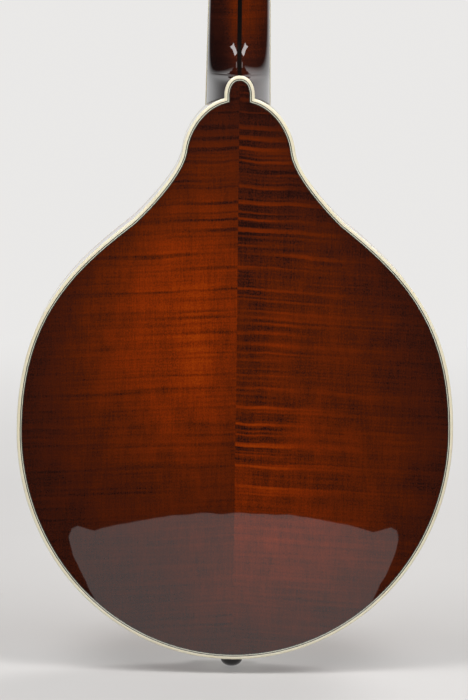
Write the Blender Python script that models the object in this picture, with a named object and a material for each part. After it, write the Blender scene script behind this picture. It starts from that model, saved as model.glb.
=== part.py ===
"""A-style mandolin with an arched, bookmatched back, built as separately named parts.

Dimensions are in millimetres and become metres when a mesh is made.
Z runs up the centreline towards the headstock, +Y faces the strings, +X is the bass side.
The origin is the flat face of the end pin; Y = 0 is the middle of the sides.
"""

import math

import bmesh
import bpy
import numpy as np
from mathutils import Vector

MM = 0.001

# ---- body ----
TAIL_Z = 8.0
HALF_WIDTH = 127.0
BOUT_HEIGHT = 134.0
WAIST_POINT = (62.5, 256.1)
WAIST_ANGLE = 52.0
SHOULDER_POINT = (32.7, 297.4)
SHOULDER_ANGLE = 6.9
NECK_CORNER = (8.8, 328.0)
NECK_CORNER_ANGLE = 75.9
BUTTON_CURVE = ((8.75, 331.0), (8.4, 333.8), (7.3, 337.4), (4.7, 339.8), (2.4, 340.8), (0.0, 341.1))
GLUE_PLANE = 18.3
EDGE_PLANE = 22.7
ARCH_CENTRE_Z = 155.0
ARCH_ELLIPSE = (122.0, 162.0)
BACK_ARCH = 12.5
TOP_ARCH = 15.5
ARCH_POWER = 1.6
INNER_POWER = 1.25
INNER_MARGIN = 15.0
SCOOP_DEPTH = 0.85
SCOOP_WIDTH = 24.0
BINDING_WIDTH = 2.3
SEAM_GAP = 0.05
RIB_HALF_HEIGHT = 18.0
RIB_THICKNESS = 2.2
BLOCK_INSET = 2.5
LINING_WIDTH = 4.6
LINING_HEIGHT = 7.5
TAIL_BLOCK_HALF = 27.0
TAIL_BLOCK_TOP = 20.0
NECK_BLOCK_BOTTOM = 290.0
PLATE_RINGS = (0.2, 0.37, 0.52, 0.66, 0.78, 0.87, 0.94, 1.0)

# ---- sound holes and tone bars ----
HOLE_TOP = (50.0, 216.0, 5.4)
HOLE_BOTTOM = (80.0, 141.0, 6.6)
HOLE_STEM_HALF = 3.6
HOLE_SWING = 9.0
TONE_BAR_X = 24.0
TONE_BAR_HALF = 3.0
TONE_BAR_Z = (95.0, 240.0)
TONE_BAR_DEPTH = 9.0

# ---- neck and fingerboard ----
SCALE_LENGTH = 352.4
NECK_SLOPE = 0.0963
JOINT_Z = 334.0
BOARD_Y_AT_JOINT = 35.9
BOARD_THICKNESS = 5.0
BOARD_HALF_AT_NUT = 16.0
BOARD_HALF_AT_JOINT = 19.3
FRET_COUNT = 20
FRET_HALF = 1.0
FRET_CROWN_HALF = 0.6
FRET_HEIGHT = 1.1
NUT_Z = 537.5
BOARD_END_Z = 292.5
STRIP_HALF = 1.25
STRIP_GAP = 0.1
RISER_HALF = 16.0
TENON_HALF = 7.5
TENON_END = 314.0
HEEL_FLOOR = -18.15
JOINT_GAP = 0.3
SIDE_POINTS = 7
CHANNEL_HALF = 3.3
CHANNEL_DEPTH = 8.6
CHANNEL_START_Z = 345.0
CHANNEL_END_Z = 558.0
ROD_AXIS_DEPTH = 4.9
ROD_END_Z = 542.6
ROD_NUT_SPAN = (0.5, 10.0)
ROD_NUT_RADIUS = 2.9

# ---- headstock and tuners ----
HEAD_START_Z = 542.5
HEAD_ANGLE = 19.5
HEAD_OUTLINE = (
    (0.0, 16.1), (7.0, 17.3), (13.0, 21.8), (20.0, 28.0), (29.0, 31.3), (42.0, 31.0), (72.0, 28.8),
    (104.0, 27.0), (124.0, 26.4), (134.0, 24.8), (142.0, 19.0), (147.0, 10.0), (149.0, 3.0),
)
HEAD_THICKNESS = ((0.0, 16.0), (13.0, 15.0), (20.0, 14.5), (149.0, 14.5))
OVERLAY_THICKNESS = 1.8
POST_X = 17.0
POST_STATIONS = (32.0, 55.0, 78.0, 101.0)
POST_RADIUS = 3.0
POST_TOP = 15.0
GEAR_TEETH = 16
GEAR_RADIUS = 4.9
GEAR_ROOT = 4.1
GEAR_SPAN = (-20.3, -16.5)
WORM_OFFSET = 7.3
WORM_AXIS_W = -18.4
SHAFT_RADIUS = 1.5
RUNNING_GAP = 0.07
LUG_SPANS = ((10.0, 12.0), (22.0, 24.0))
TUNER_PLATE_X = (9.5, 25.5)
TUNER_PLATE_V = (23.0, 114.0)
TUNER_PLATE_W = (-15.9, -14.7)
KNOB_PROFILE = (
    (8.4, 1.0, 1.0), (8.8, 1.5, 1.5), (12.2, 1.5, 1.5), (12.6, 2.1, 2.1), (21.4, 2.1, 2.1),
    (21.8, 1.5, 1.5), (34.0, 1.5, 1.5), (34.4, 2.6, 2.2), (38.0, 4.6, 2.6), (42.5, 7.6, 3.2),
    (47.0, 7.8, 3.1), (50.5, 5.0, 2.0), (51.3, 2.0, 0.8),
)
ROUND_SIDES = 16

# ---- bridge, tailpiece and strings ----
BRIDGE_Z = 185.0
BASE_HALF_WIDTH = 6.0
BASE_TOP_Y = 43.0
WHEEL_Y = (44.7, 46.8)
WHEEL_RADIUS = 6.5
SADDLE_Y = (46.95, 53.7)
SADDLE_HALF_LENGTH = 37.0
BRIDGE_POST_X = 27.5
BRIDGE_POST_RADIUS = 2.0
WHEEL_BORE_RADIUS = 2.45  # wide enough that the wheels' collision pieces stay clear of the posts
BRIDGE_POST_Y = (39.6, 50.6)
SADDLE_BORE_TOP = 52.4
TAIL_PLATE_HALF = 15.0
COVER_HALF = 18.3
COVER_WALL = 0.8
HOOK_Z = 44.3
HOOK_Y = 31.0
STRING_RADII = {"g": 0.5, "d": 0.33, "a": 0.21, "e": 0.15}
STRING_REST_GAP = 0.05
NUT_TOP_Y = 17.7

PIN_PROFILE = (
    (2.4, 0.0), (4.0, 0.35), (5.4, 1.25), (6.4, 2.7), (6.8, 4.4), (6.8, 6.0), (6.5, 6.4),
    (3.9, 6.4), (3.8, 9.0), (3.5, 24.0),
)

COLORS = {
    "maple": (0.32, 0.09, 0.02, 1), "spruce": (0.62, 0.36, 0.14, 1), "ebony": (0.02, 0.018, 0.016, 1),
    "binding": (0.78, 0.70, 0.48, 1), "brass": (0.75, 0.55, 0.22, 1), "nickel": (0.62, 0.60, 0.56, 1),
    "steel": (0.5, 0.5, 0.5, 1), "bone": (0.85, 0.80, 0.66, 1), "willow": (0.60, 0.42, 0.24, 1),
    "pearl": (0.82, 0.80, 0.76, 1),
}
FINISHES = {"brass": (1.0, 0.25), "nickel": (1.0, 0.2), "steel": (1.0, 0.35)}


# ---------------------------------------------------------------- scene and mesh helpers
def clear_scene():
    for item in list(bpy.data.objects):
        bpy.data.objects.remove(item, do_unlink=True)


def new_collection(name):
    collection = bpy.data.collections.new(name)
    bpy.context.scene.collection.children.link(collection)
    return collection


def material(kind):
    found = bpy.data.materials.get(kind)
    if found:
        return found
    made = bpy.data.materials.new(kind)
    made.use_nodes = True
    metallic, roughness = FINISHES.get(kind, (0.0, 0.35))
    shader = made.node_tree.nodes["Principled BSDF"]
    shader.inputs["Base Color"].default_value = COLORS[kind]
    shader.inputs["Metallic"].default_value = metallic
    shader.inputs["Roughness"].default_value = roughness
    return made


def mesh_object(name, shape, collection, origin=(0.0, 0.0, 0.0)):
    """A closed mesh with outward faces, its object origin at the given point."""
    vertices, faces = shape
    mesh = bpy.data.meshes.new(name)
    mesh.from_pydata([[(p - o) * MM for p, o in zip(point, origin)] for point in vertices], [], faces)
    work = bmesh.new()
    work.from_mesh(mesh)
    bmesh.ops.recalc_face_normals(work, faces=work.faces)
    work.to_mesh(mesh)
    work.free()
    item = bpy.data.objects.new(name, mesh)
    item.location = [o * MM for o in origin]
    collection.objects.link(item)
    return item


def add_part(name, shape, kind, origin=(0.0, 0.0, 0.0)):
    item = mesh_object(name, shape, PARTS, origin)
    item.data.materials.append(material(kind))
    return item


def cut(item, shape, label):
    """Removes a closed shape from a part."""
    cutter = mesh_object(label, shape, CUTTERS)
    cutter.hide_render = True
    cutter.display_type = "WIRE"
    step = item.modifiers.new(label, "BOOLEAN")
    step.operation = "DIFFERENCE"
    step.solver = "EXACT"
    step.object = cutter


def loft(sections, ring=False):
    """Skins equal closed loops; the ends are capped unless the sections form a ring."""
    count = len(sections[0])
    vertices = [point for section in sections for point in section]
    faces = []
    for index in range(len(sections) if ring else len(sections) - 1):
        low = index * count
        high = ((index + 1) % len(sections)) * count
        for k in range(count):
            after = (k + 1) % count
            faces.append((low + k, low + after, high + after, high + k))
    if not ring:
        faces.append(tuple(range(count)))
        faces.append(tuple(range(len(vertices) - count, len(vertices))))
    return vertices, faces


def prism_y(outline, y_low, y_high):
    return loft([[(x, y, z) for x, z in outline] for y in (y_low, y_high)])


def prism_x(profile, x_low, x_high):
    return loft([[(x, y, z) for z, y in profile] for x in (x_low, x_high)])


def circle(sides, phase=0.0):
    steps = [2 * math.pi * (k + phase) / sides for k in range(sides)]
    return [(math.cos(a), math.sin(a)) for a in steps]


def turned(profile, sides, place):
    """Revolves (radius, height) pairs; place maps (across, across, along) to a point."""
    return loft([[place(r * c, r * s, h) for c, s in circle(sides)] for r, h in profile])


def tube(inner, outer, low, high, sides, place):
    corners = ((outer, low), (outer, high), (inner, high), (inner, low))
    sections = [[place(r * c, r * s, h) for r, h in corners] for c, s in circle(sides)]
    return loft(sections, ring=True)


def along_y(x, z):
    return lambda a, b, h: (x + a, h, z + b)


def along_z(x, y):
    return lambda a, b, h: (x + a, y + b, h)


# ---------------------------------------------------------------- body outline and arching
def direction(angle):
    return np.array((-math.sin(math.radians(angle)), math.cos(math.radians(angle))))


def bezier(start, start_handle, end_handle, end, steps):
    t = np.linspace(0.0, 1.0, steps + 1)[1:, None]
    return (
        start * (1 - t) ** 3 + start_handle * 3 * t * (1 - t) ** 2
        + end_handle * 3 * t ** 2 * (1 - t) + end * t ** 3
    )


def half_outline(detail=1):
    """The bass half of the body edge from the tail to the corner beside the heel."""
    steps = 14 * detail
    angles = np.linspace(0.0, math.pi / 2, steps + 1)
    lower = np.stack((HALF_WIDTH * np.sin(angles), BOUT_HEIGHT * (1 - np.cos(angles))), axis=1)
    bout = np.array((HALF_WIDTH, BOUT_HEIGHT))
    waist = np.array(WAIST_POINT)
    shoulder = np.array(SHOULDER_POINT)
    corner = np.array(NECK_CORNER)
    pieces = (
        bezier(bout, bout + 64.4 * direction(0), waist - 46.5 * direction(WAIST_ANGLE), waist, 9 * detail),
        bezier(
            waist, waist + 4.8 * direction(WAIST_ANGLE),
            shoulder - 13.95 * direction(SHOULDER_ANGLE), shoulder, 4 * detail,
        ),
        bezier(
            shoulder, shoulder + 15.8 * direction(SHOULDER_ANGLE),
            corner - 11.2 * direction(NECK_CORNER_ANGLE), corner, 5 * detail,
        ),
    )
    path = np.concatenate((lower,) + pieces)
    path[:, 1] += TAIL_Z
    return path


def with_button(path):
    button = np.array(BUTTON_CURVE)
    button[:, 1] += TAIL_Z
    return np.concatenate((path, button))


def with_flat_end(path):
    return np.concatenate((path, [(0.0, NECK_CORNER[1] + TAIL_Z)]))


def inset(path, distance):
    """Moves a half outline inwards; both of its ends may lie on the centreline."""
    mirrored = path[1:2] * (-1, 1)
    closed_end = path[-1, 0] == 0.0
    after = path[-2:-1] * (-1, 1) if closed_end else path[-1:] + (path[-1:] - path[-2:-1])
    extended = np.concatenate((mirrored, path, after))
    before_edge = extended[1:-1] - extended[:-2]
    after_edge = extended[2:] - extended[1:-1]
    before_edge /= np.linalg.norm(before_edge, axis=1)[:, None]
    after_edge /= np.linalg.norm(after_edge, axis=1)[:, None]
    before_normal = np.stack((-before_edge[:, 1], before_edge[:, 0]), axis=1)
    after_normal = np.stack((-after_edge[:, 1], after_edge[:, 0]), axis=1)
    mitre = before_normal + after_normal
    mitre /= (mitre * before_normal).sum(axis=1)[:, None]
    moved = path + mitre * distance
    moved[0, 0] = 0.0
    if closed_end:
        moved[-1, 0] = 0.0
    return moved


def closed_loop(path):
    other = path[::-1] * (-1, 1)
    return np.concatenate((path, other[1:-1]))


def arch_tables():
    path = half_outline(4)
    centre = np.array((0.0, TAIL_Z + ARCH_CENTRE_Z))
    offset = path - centre
    edge = np.gradient(path, axis=0)
    normal = np.stack((edge[:, 1], -edge[:, 0]), axis=1)
    normal /= np.linalg.norm(normal, axis=1)[:, None]
    angle = np.arctan2(offset[:, 0], offset[:, 1])[::-1]
    reach = np.linalg.norm(offset, axis=1)[::-1]
    support = (offset * normal).sum(axis=1)[::-1]
    return angle, reach, support


def arch(x, z, height, inner=False):
    """Height of the plate surface above its flat edge."""
    z_offset = z - TAIL_Z - ARCH_CENTRE_Z
    angle = math.atan2(abs(x), z_offset)
    distance = math.hypot(x, z_offset)
    reach = float(np.interp(angle, *ARCH[:2]))
    support = float(np.interp(angle, ARCH[0], ARCH[2]))
    edge_share = distance / reach
    wide, tall = ARCH_ELLIPSE
    round_share = math.hypot(x / wide, z_offset / tall)
    mix = min(max((edge_share - 0.35) / 0.6, 0.0), 1.0)
    mix = mix * mix * (3 - 2 * mix)
    share = round_share * (1 - mix) + edge_share * mix
    if inner:
        share /= 1 - INNER_MARGIN / support
        return height * max(0.0, 1 - share * share) ** INNER_POWER
    depth = min(max((1 - edge_share) * support / SCOOP_WIDTH, 0.0), 1.0)
    scoop = SCOOP_DEPTH * 6.75 * depth * (1 - depth) ** 2
    return height * max(0.0, 1 - share * share) ** ARCH_POWER - scoop


def top_surface(x, z):
    return EDGE_PLANE + arch(x, z, TOP_ARCH)


# ---------------------------------------------------------------- body parts
def plate_half(path, side, facing, height):
    """One half of an arched plate, open at neither the seam nor the edge."""
    centre = np.array((0.0, TAIL_Z + ARCH_CENTRE_Z))
    rays = len(path)
    flat = [(SEAM_GAP, centre[1])]
    for ring in PLATE_RINGS:
        for point in path:
            x, z = centre + (point - centre) * ring
            flat.append((max(x, SEAM_GAP), z))
    outer = [(side * x, facing * (EDGE_PLANE + arch(x, z, height)), z) for x, z in flat]
    inner = [(side * x, facing * (GLUE_PLANE + arch(x, z, height - 0.1, True)), z) for x, z in flat]
    count = len(flat)
    surface = [(0, 1 + j, 2 + j) for j in range(rays - 1)]
    for ring in range(len(PLATE_RINGS) - 1):
        low = 1 + ring * rays
        for j in range(rays - 1):
            surface.append((low + j, low + rays + j, low + rays + j + 1, low + j + 1))
    faces = surface + [tuple(i + count for i in face) for face in surface]
    last = count - rays
    rim = [last + j for j in range(rays)]
    tail_seam = [0] + [1 + ring * rays for ring in range(len(PLATE_RINGS))]
    head_seam = [0] + [rays + ring * rays for ring in range(len(PLATE_RINGS))]
    for line in (rim, tail_seam, head_seam):
        for a, b in zip(line, line[1:]):
            faces.append((a, b, b + count, a + count))
    return outer + inner, faces


def ring_band(path, outer_inset, width, y_low, y_high):
    outside = closed_loop(inset(path, outer_inset))
    inside = closed_loop(inset(path, outer_inset + width))
    sections = []
    for (xo, zo), (xi, zi) in zip(outside, inside):
        sections.append([(xo, y_low, zo), (xo, y_high, zo), (xi, y_high, zi), (xi, y_low, zi)])
    return loft(sections, ring=True)


def side_band(path, side):
    outside = inset(path, 0.1)
    inside = inset(path, RIB_THICKNESS)
    outside[0, 0] = inside[0, 0] = SEAM_GAP
    sections = []
    for (xo, zo), (xi, zi) in zip(outside, inside):
        sections.append([
            (side * xo, -RIB_HALF_HEIGHT, zo), (side * xo, RIB_HALF_HEIGHT, zo),
            (side * xi, RIB_HALF_HEIGHT, zi), (side * xi, -RIB_HALF_HEIGHT, zi),
        ])
    return loft(sections)


def lining(path, side, facing):
    wall = inset(path, BLOCK_INSET)
    inside = inset(path, BLOCK_INSET + LINING_WIDTH)
    sections = []
    for (xw, zw), (xi, zi) in zip(wall, inside):
        in_tail = zw < TAIL_Z + 60 and xw < TAIL_BLOCK_HALF + 1
        in_neck = zw > TAIL_Z + NECK_BLOCK_BOTTOM - 1
        if in_tail or in_neck:
            continue
        sections.append([
            (side * xw, facing * (RIB_HALF_HEIGHT - 0.1), zw),
            (side * xi, facing * (RIB_HALF_HEIGHT - 0.1), zi),
            (side * xw, facing * (RIB_HALF_HEIGHT - LINING_HEIGHT), zw),
        ])
    return loft(sections)


def tail_block_outline(path):
    wall = inset(path, BLOCK_INSET)
    keep = [tuple(p) for p in wall if p[0] < TAIL_BLOCK_HALF and p[1] < TAIL_Z + 60]
    top = TAIL_Z + TAIL_BLOCK_TOP
    right = keep + [(TAIL_BLOCK_HALF - 1, top)]
    return right + [(-x, z) for x, z in reversed(right[1:])]


def neck_block_outline(path):
    wall = inset(path, BLOCK_INSET)
    bottom = TAIL_Z + NECK_BLOCK_BOTTOM
    keep = [tuple(p) for p in wall if p[1] > bottom + 1 and p[0] > TENON_HALF + 0.6]
    notch = TENON_HALF + 0.3
    top = TAIL_Z + NECK_CORNER[1] - BLOCK_INSET - 0.1
    floor = TAIL_Z + TENON_END - 0.3
    right = [(keep[0][0] - 1, bottom)] + keep + [(notch, top), (notch, floor)]
    return right + [(-x, z) for x, z in reversed(right)]


def sound_hole_stem(side):
    top = np.array(HOLE_TOP[:2])
    bottom = np.array(HOLE_BOTTOM[:2])
    axis = (bottom - top) / np.linalg.norm(bottom - top)
    across = np.array((-axis[1], axis[0]))
    left, right = [], []
    for t in np.linspace(0.0, 1.0, 9):
        swing = HOLE_SWING * math.sin(2 * math.pi * t) * -0.5
        half = HOLE_STEM_HALF * (0.45 + 0.55 * math.sin(math.pi * t))
        middle = top + (bottom - top) * t + across * swing
        left.append(tuple(middle + across * half))
        right.append(tuple(middle - across * half))
    return [(side * x, TAIL_Z + z) for x, z in left + right[::-1]]


def cut_sound_hole(item, side):
    name = item.name
    cut(item, prism_y(sound_hole_stem(side), 10.0, 50.0), name + "_stem")
    for label, (x, z, radius) in (("_upper", HOLE_TOP), ("_lower", HOLE_BOTTOM)):
        profile = ((radius, 10.0), (radius, 50.0))
        cut(item, turned(profile, ROUND_SIDES, along_y(side * x, TAIL_Z + z)), name + label)


def tone_bar(side):
    sections = []
    for z in np.linspace(TONE_BAR_Z[0], TONE_BAR_Z[1], 9) + TAIL_Z:
        end_share = abs(z - TAIL_Z - sum(TONE_BAR_Z) / 2) / ((TONE_BAR_Z[1] - TONE_BAR_Z[0]) / 2)
        depth = TONE_BAR_DEPTH * (1 - 0.6 * end_share ** 3)
        xs = (side * (TONE_BAR_X - TONE_BAR_HALF), side * (TONE_BAR_X + TONE_BAR_HALF))
        high = [GLUE_PLANE + arch(x, z, TOP_ARCH - 0.1, True) - 0.6 for x in xs]
        sections.append([
            (xs[0], high[0], z), (xs[1], high[1], z),
            (xs[1], min(high) - depth, z), (xs[0], min(high) - depth, z),
        ])
    return loft(sections)


def build_body():
    path = half_outline()
    back_path = inset(with_button(path), BINDING_WIDTH + 0.1)
    top_path = inset(with_flat_end(path), BINDING_WIDTH + 0.1)
    pin_hole = turned(((4.15, 5.0), (4.15, 40.0)), ROUND_SIDES, along_z(0.0, 0.0))
    for name, side in (("bass", 1), ("treble", -1)):
        add_part("back_" + name + "_half", plate_half(back_path, side, -1, BACK_ARCH), "maple")
        top = add_part("top_" + name + "_half", plate_half(top_path, side, 1, TOP_ARCH), "spruce")
        cut_sound_hole(top, side)
        rib = add_part("side_" + name, side_band(path, side), "maple")
        cut(rib, pin_hole, "pin_hole_" + name)
        add_part("lining_back_" + name, lining(path, side, -1), "willow")
        add_part("lining_top_" + name, lining(path, side, 1), "willow")
        add_part("tone_bar_" + name, tone_bar(side), "spruce")
    low, high = GLUE_PLANE - 0.15, EDGE_PLANE - 0.15
    add_part("back_binding", ring_band(with_button(path), 0.0, BINDING_WIDTH, -high, -low), "binding")
    add_part("top_binding", ring_band(with_flat_end(path), 0.0, BINDING_WIDTH, low, high), "binding")
    height = RIB_HALF_HEIGHT - 0.1
    tail = add_part("tail_block", prism_y(tail_block_outline(path), -height, height), "willow")
    cut(tail, pin_hole, "pin_hole_block")
    add_part("neck_block", prism_y(neck_block_outline(path), -height, height), "maple")
    add_part("end_pin", turned(PIN_PROFILE, ROUND_SIDES, along_z(0.0, 0.0)), "ebony")


# ---------------------------------------------------------------- neck
def board_top(z):
    return BOARD_Y_AT_JOINT - NECK_SLOPE * (z - JOINT_Z)


def board_under(z):
    return board_top(z) - BOARD_THICKNESS


def board_half(z):
    share = (z - JOINT_Z) / (NUT_Z - JOINT_Z)
    return BOARD_HALF_AT_JOINT + (BOARD_HALF_AT_NUT - BOARD_HALF_AT_JOINT) * share


def head_point(x, v, w):
    """A point on the headstock: v along it from the nut, w out of its front face."""
    angle = math.radians(HEAD_ANGLE)
    y = board_under(HEAD_START_Z) - v * math.sin(angle) + w * math.cos(angle)
    z = HEAD_START_Z + v * math.cos(angle) + w * math.sin(angle)
    return (x, y, z)


def neck_stations():
    """Front point, back point, half width, floor half width, heel and square weights."""
    tip = NECK_CORNER[1]
    heel = (
        (284.8, RISER_HALF, 8.7, 1.0), (321.4, RISER_HALF, 8.7, 1.0), (321.9, 0.0, 8.7, 1.0),
        (tip, 0.0, 8.7, 1.0), (333.5, 0.0, 8.3, 1.0), (337.3, 0.0, 7.2, 1.0),
        (339.6, 0.0, 4.6, 1.0), (341.0, 0.0, 1.7, 1.0),
    )
    rise = (
        (342.0, -14.5, 0.97), (343.5, -9.6, 0.9), (345.8, -4.2, 0.78), (349.0, 0.6, 0.62),
        (353.0, 4.3, 0.45), (358.0, 7.1, 0.27), (364.5, 8.8, 0.1), (372.0, 9.2, 0.0),
    )
    stations = []
    for height, half, floor, weight in heel:
        z = TAIL_Z + height
        stations.append(((board_under(z), z), (HEEL_FLOOR, z), half or board_half(z), floor, weight, 0.0))
    for height, back, weight in rise:
        z = TAIL_Z + height
        stations.append(((board_under(z), z), (back, z), board_half(z), 1.9, weight, 0.0))
    for z in (430.0, 490.0, 531.0):
        back = 9.2 - (z - 380.0) * 0.0854
        stations.append(((board_under(z), z), (back, z), board_half(z), 1.9, 0.0, 0.0))
    depths, thickness = zip(*HEAD_THICKNESS)
    for v, half in HEAD_OUTLINE:
        front = head_point(0.0, v, 0.0)[1:]
        back = head_point(0.0, v, -float(np.interp(v, depths, thickness)))[1:]
        stations.append((front, back, half, 1.9, 0.0, min(v / 20.0, 1.0)))
    return stations


def neck_section(station, side):
    front, back, half, floor, heel, square = station
    inner = STRIP_HALF + STRIP_GAP
    reach = half - inner
    points = [(side * inner, front[0], front[1])]
    for k in range(SIDE_POINTS):
        even = k / (SIDE_POINTS - 1)
        angle = math.pi / 2 * k / SIDE_POINTS
        round_depth = math.sin(angle) ** 0.87
        round_width = math.cos(angle) ** 0.87
        floor_share = (floor - inner) / reach
        heel_width = floor_share + (1 - floor_share) * (1 - even ** 1.6)
        depth = round_depth * (1 - heel) + even * heel
        width = round_width * (1 - heel) + heel_width * heel
        depth += (even - depth) * square
        width += (1 - width) * square
        y = front[0] + (back[0] - front[0]) * depth
        z = front[1] + (back[1] - front[1]) * depth
        points.append((side * (inner + reach * width), y, z))
    points.append((side * inner, back[0], back[1]))
    return points


def channel_shape():
    profile = [
        (CHANNEL_START_Z, board_under(CHANNEL_START_Z) - CHANNEL_DEPTH),
        (CHANNEL_START_Z, board_under(CHANNEL_START_Z) + 3),
        (CHANNEL_END_Z, board_under(CHANNEL_END_Z) + 3),
        (CHANNEL_END_Z, board_under(CHANNEL_END_Z) - CHANNEL_DEPTH),
    ]
    return prism_x(profile, -CHANNEL_HALF, CHANNEL_HALF)


def body_space():
    """The region taken by the body, with room left for the tenon."""
    path = inset(half_outline(), -JOINT_GAP)
    corner_z = TAIL_Z + NECK_CORNER[1] + JOINT_GAP
    keep = [tuple(p) for p in path if p[1] > TAIL_Z + 262 and p[0] > NECK_CORNER[0] + 0.5]
    right = [(60.0, TAIL_Z + 262)] + keep + [(NECK_CORNER[0], corner_z), (TENON_HALF, corner_z)]
    right.append((TENON_HALF, TAIL_Z + TENON_END))
    outline = right + [(-x, z) for x, z in reversed(right)]
    return prism_y(outline, -40.0, 20.0)


def top_space():
    """The region over the arched top that the fingerboard support clears."""
    edge = TAIL_Z + NECK_CORNER[1] + JOINT_GAP
    profile = [(edge, RIB_HALF_HEIGHT + 0.1), (edge, 23.0), (290.0, 27.5), (280.0, 28.0)]
    return prism_x(profile + [(280.0, RIB_HALF_HEIGHT + 0.1)], -45.0, 45.0)


def strip_profile(stations):
    """Side view of the centre strip, from the heel joint to the tip of the headstock."""
    edge = TAIL_Z + NECK_CORNER[1] + JOINT_GAP
    above = [s for s in stations if s[1][1] > edge]
    front = [(s[0][1], s[0][0]) for s in above]
    back = [(s[1][1], s[1][0]) for s in above]
    riser_end = stations[0][0]
    support = [(edge, HEEL_FLOOR), (edge, 23.0), (riser_end[1], 27.8), (riser_end[1], riser_end[0])]
    return support + front + back[::-1]


def fingerboard():
    """The board with its frets; the slot side of each fret is part of the board."""
    levels = [(BOARD_END_Z, 0.0)]
    for number in range(FRET_COUNT, 0, -1):
        distance = SCALE_LENGTH * (1 - 2 ** (-number / 12))
        z = NUT_Z - distance * math.cos(math.atan(NECK_SLOPE))
        levels += [
            (z - FRET_HALF, 0.0), (z - FRET_CROWN_HALF, FRET_HEIGHT),
            (z + FRET_CROWN_HALF, FRET_HEIGHT), (z + FRET_HALF, 0.0),
        ]
    levels.append((NUT_Z - 0.1, 0.0))
    sections = []
    for z, rise in levels:
        half = board_half(z)
        low, high = board_under(z) + 0.15, board_top(z) + rise
        sections.append([(-half, low, z), (half, low, z), (half, high, z), (-half, high, z)])
    return loft(sections)


def rod_point(x, along, up):
    """A point beside the truss rod: along its axis from the bar's end, up towards the board."""
    angle = math.atan(NECK_SLOPE)
    y = board_under(ROD_END_Z) - ROD_AXIS_DEPTH - along * math.sin(angle) + up * math.cos(angle)
    return (x, y, ROD_END_Z + along * math.cos(angle) + up * math.sin(angle))


def truss_rod():
    """A flat bar with a round threaded end."""
    sections = []
    for along, half_x, half_y in ((-192.0, 2.9, 3.4), (0.0, 2.9, 3.4), (0.2, 1.5, 1.5), (8.6, 1.5, 1.5)):
        section = []
        for c, s in circle(12, 0.5):
            stretch = 1.0 if half_x == half_y else 1.0 / max(abs(c), abs(s))
            section.append(rod_point(half_x * c * stretch, along, half_y * s * stretch))
        sections.append(section)
    return loft(sections)


def rod_nut():
    """A hexagonal nut around the threaded end."""
    low, high = ROD_NUT_SPAN
    bore = SHAFT_RADIUS + RUNNING_GAP
    sections = []
    for k, (c, s) in enumerate(circle(12, 0.5)):
        outer = ROD_NUT_RADIUS if k % 2 else ROD_NUT_RADIUS * math.cos(math.pi / 6)
        corners = ((outer, low), (outer, high), (bore, high), (bore, low))
        sections.append([rod_point(r * c, along, r * s) for r, along in corners])
    return loft(sections, ring=True)


def build_neck():
    stations = neck_stations()
    for name, side in (("bass", 1), ("treble", -1)):
        shape = loft([neck_section(station, side) for station in stations])
        half = add_part("neck_" + name + "_half", shape, "maple")
        cut(half, body_space(), "body_space_" + name)
        cut(half, top_space(), "top_space_" + name)
        cut(half, channel_shape(), "channel_" + name)
        for index, v in enumerate(POST_STATIONS):
            place = post_place(side, v)
            hole = turned(((3.5, -25.0), (3.5, 10.0)), ROUND_SIDES, place)
            cut(half, hole, "post_hole_" + name + str(index + 1))
    strip = add_part("neck_centre_strip", prism_x(strip_profile(stations), -STRIP_HALF, STRIP_HALF), "ebony")
    cut(strip, channel_shape(), "channel_strip")
    add_part("fingerboard", fingerboard(), "ebony")
    low = board_under(NUT_Z) + 0.15
    nut_outline = [(NUT_Z + 0.1, low), (NUT_Z + 4.7, low), (NUT_Z + 4.7, NUT_TOP_Y - 1.6)]
    nut_outline += [(NUT_Z + 2.6, NUT_TOP_Y), (NUT_Z + 0.1, NUT_TOP_Y)]
    add_part("nut", prism_x(nut_outline, -15.0, 15.0), "bone")
    add_part("truss_rod", truss_rod(), "steel")
    add_part("truss_rod_nut", rod_nut(), "brass", rod_point(0.0, 0.0, 0.0))


# ---------------------------------------------------------------- headstock and tuners
def post_place(side, v):
    return lambda a, b, h: head_point(side * POST_X + a, v + b, h)


def shaft_place(side, v):
    return lambda a, b, h: head_point(side * h, v + a, WORM_AXIS_W + b)


def head_slab(outline, w_low, w_high):
    return loft([[head_point(x, v, w) for x, v in outline] for w in (w_low, w_high)])


def overlay():
    right = [(half, max(v, 0.6)) for v, half in HEAD_OUTLINE]
    outline = right + [(-x, v) for x, v in reversed(right)]
    return head_slab(outline, 0.12, OVERLAY_THICKNESS)


def gear_and_post(side, v):
    place = post_place(side, v)
    count = GEAR_TEETH * 2
    ring = circle(count)
    teeth = [GEAR_RADIUS if k % 2 else GEAR_ROOT for k in range(count)]
    sections = [[place(t * c, t * s, h) for t, (c, s) in zip(teeth, ring)] for h in GEAR_SPAN]
    for height in (GEAR_SPAN[1], POST_TOP):
        sections.append([place(POST_RADIUS * c, POST_RADIUS * s, height) for c, s in ring])
    return loft(sections)


def knob(side, v):
    sections = []
    for x, across, deep in KNOB_PROFILE:
        ring = circle(ROUND_SIDES)
        sections.append([
            head_point(side * x, v + WORM_OFFSET + across * c, WORM_AXIS_W + deep * s) for c, s in ring
        ])
    return loft(sections)


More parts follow.
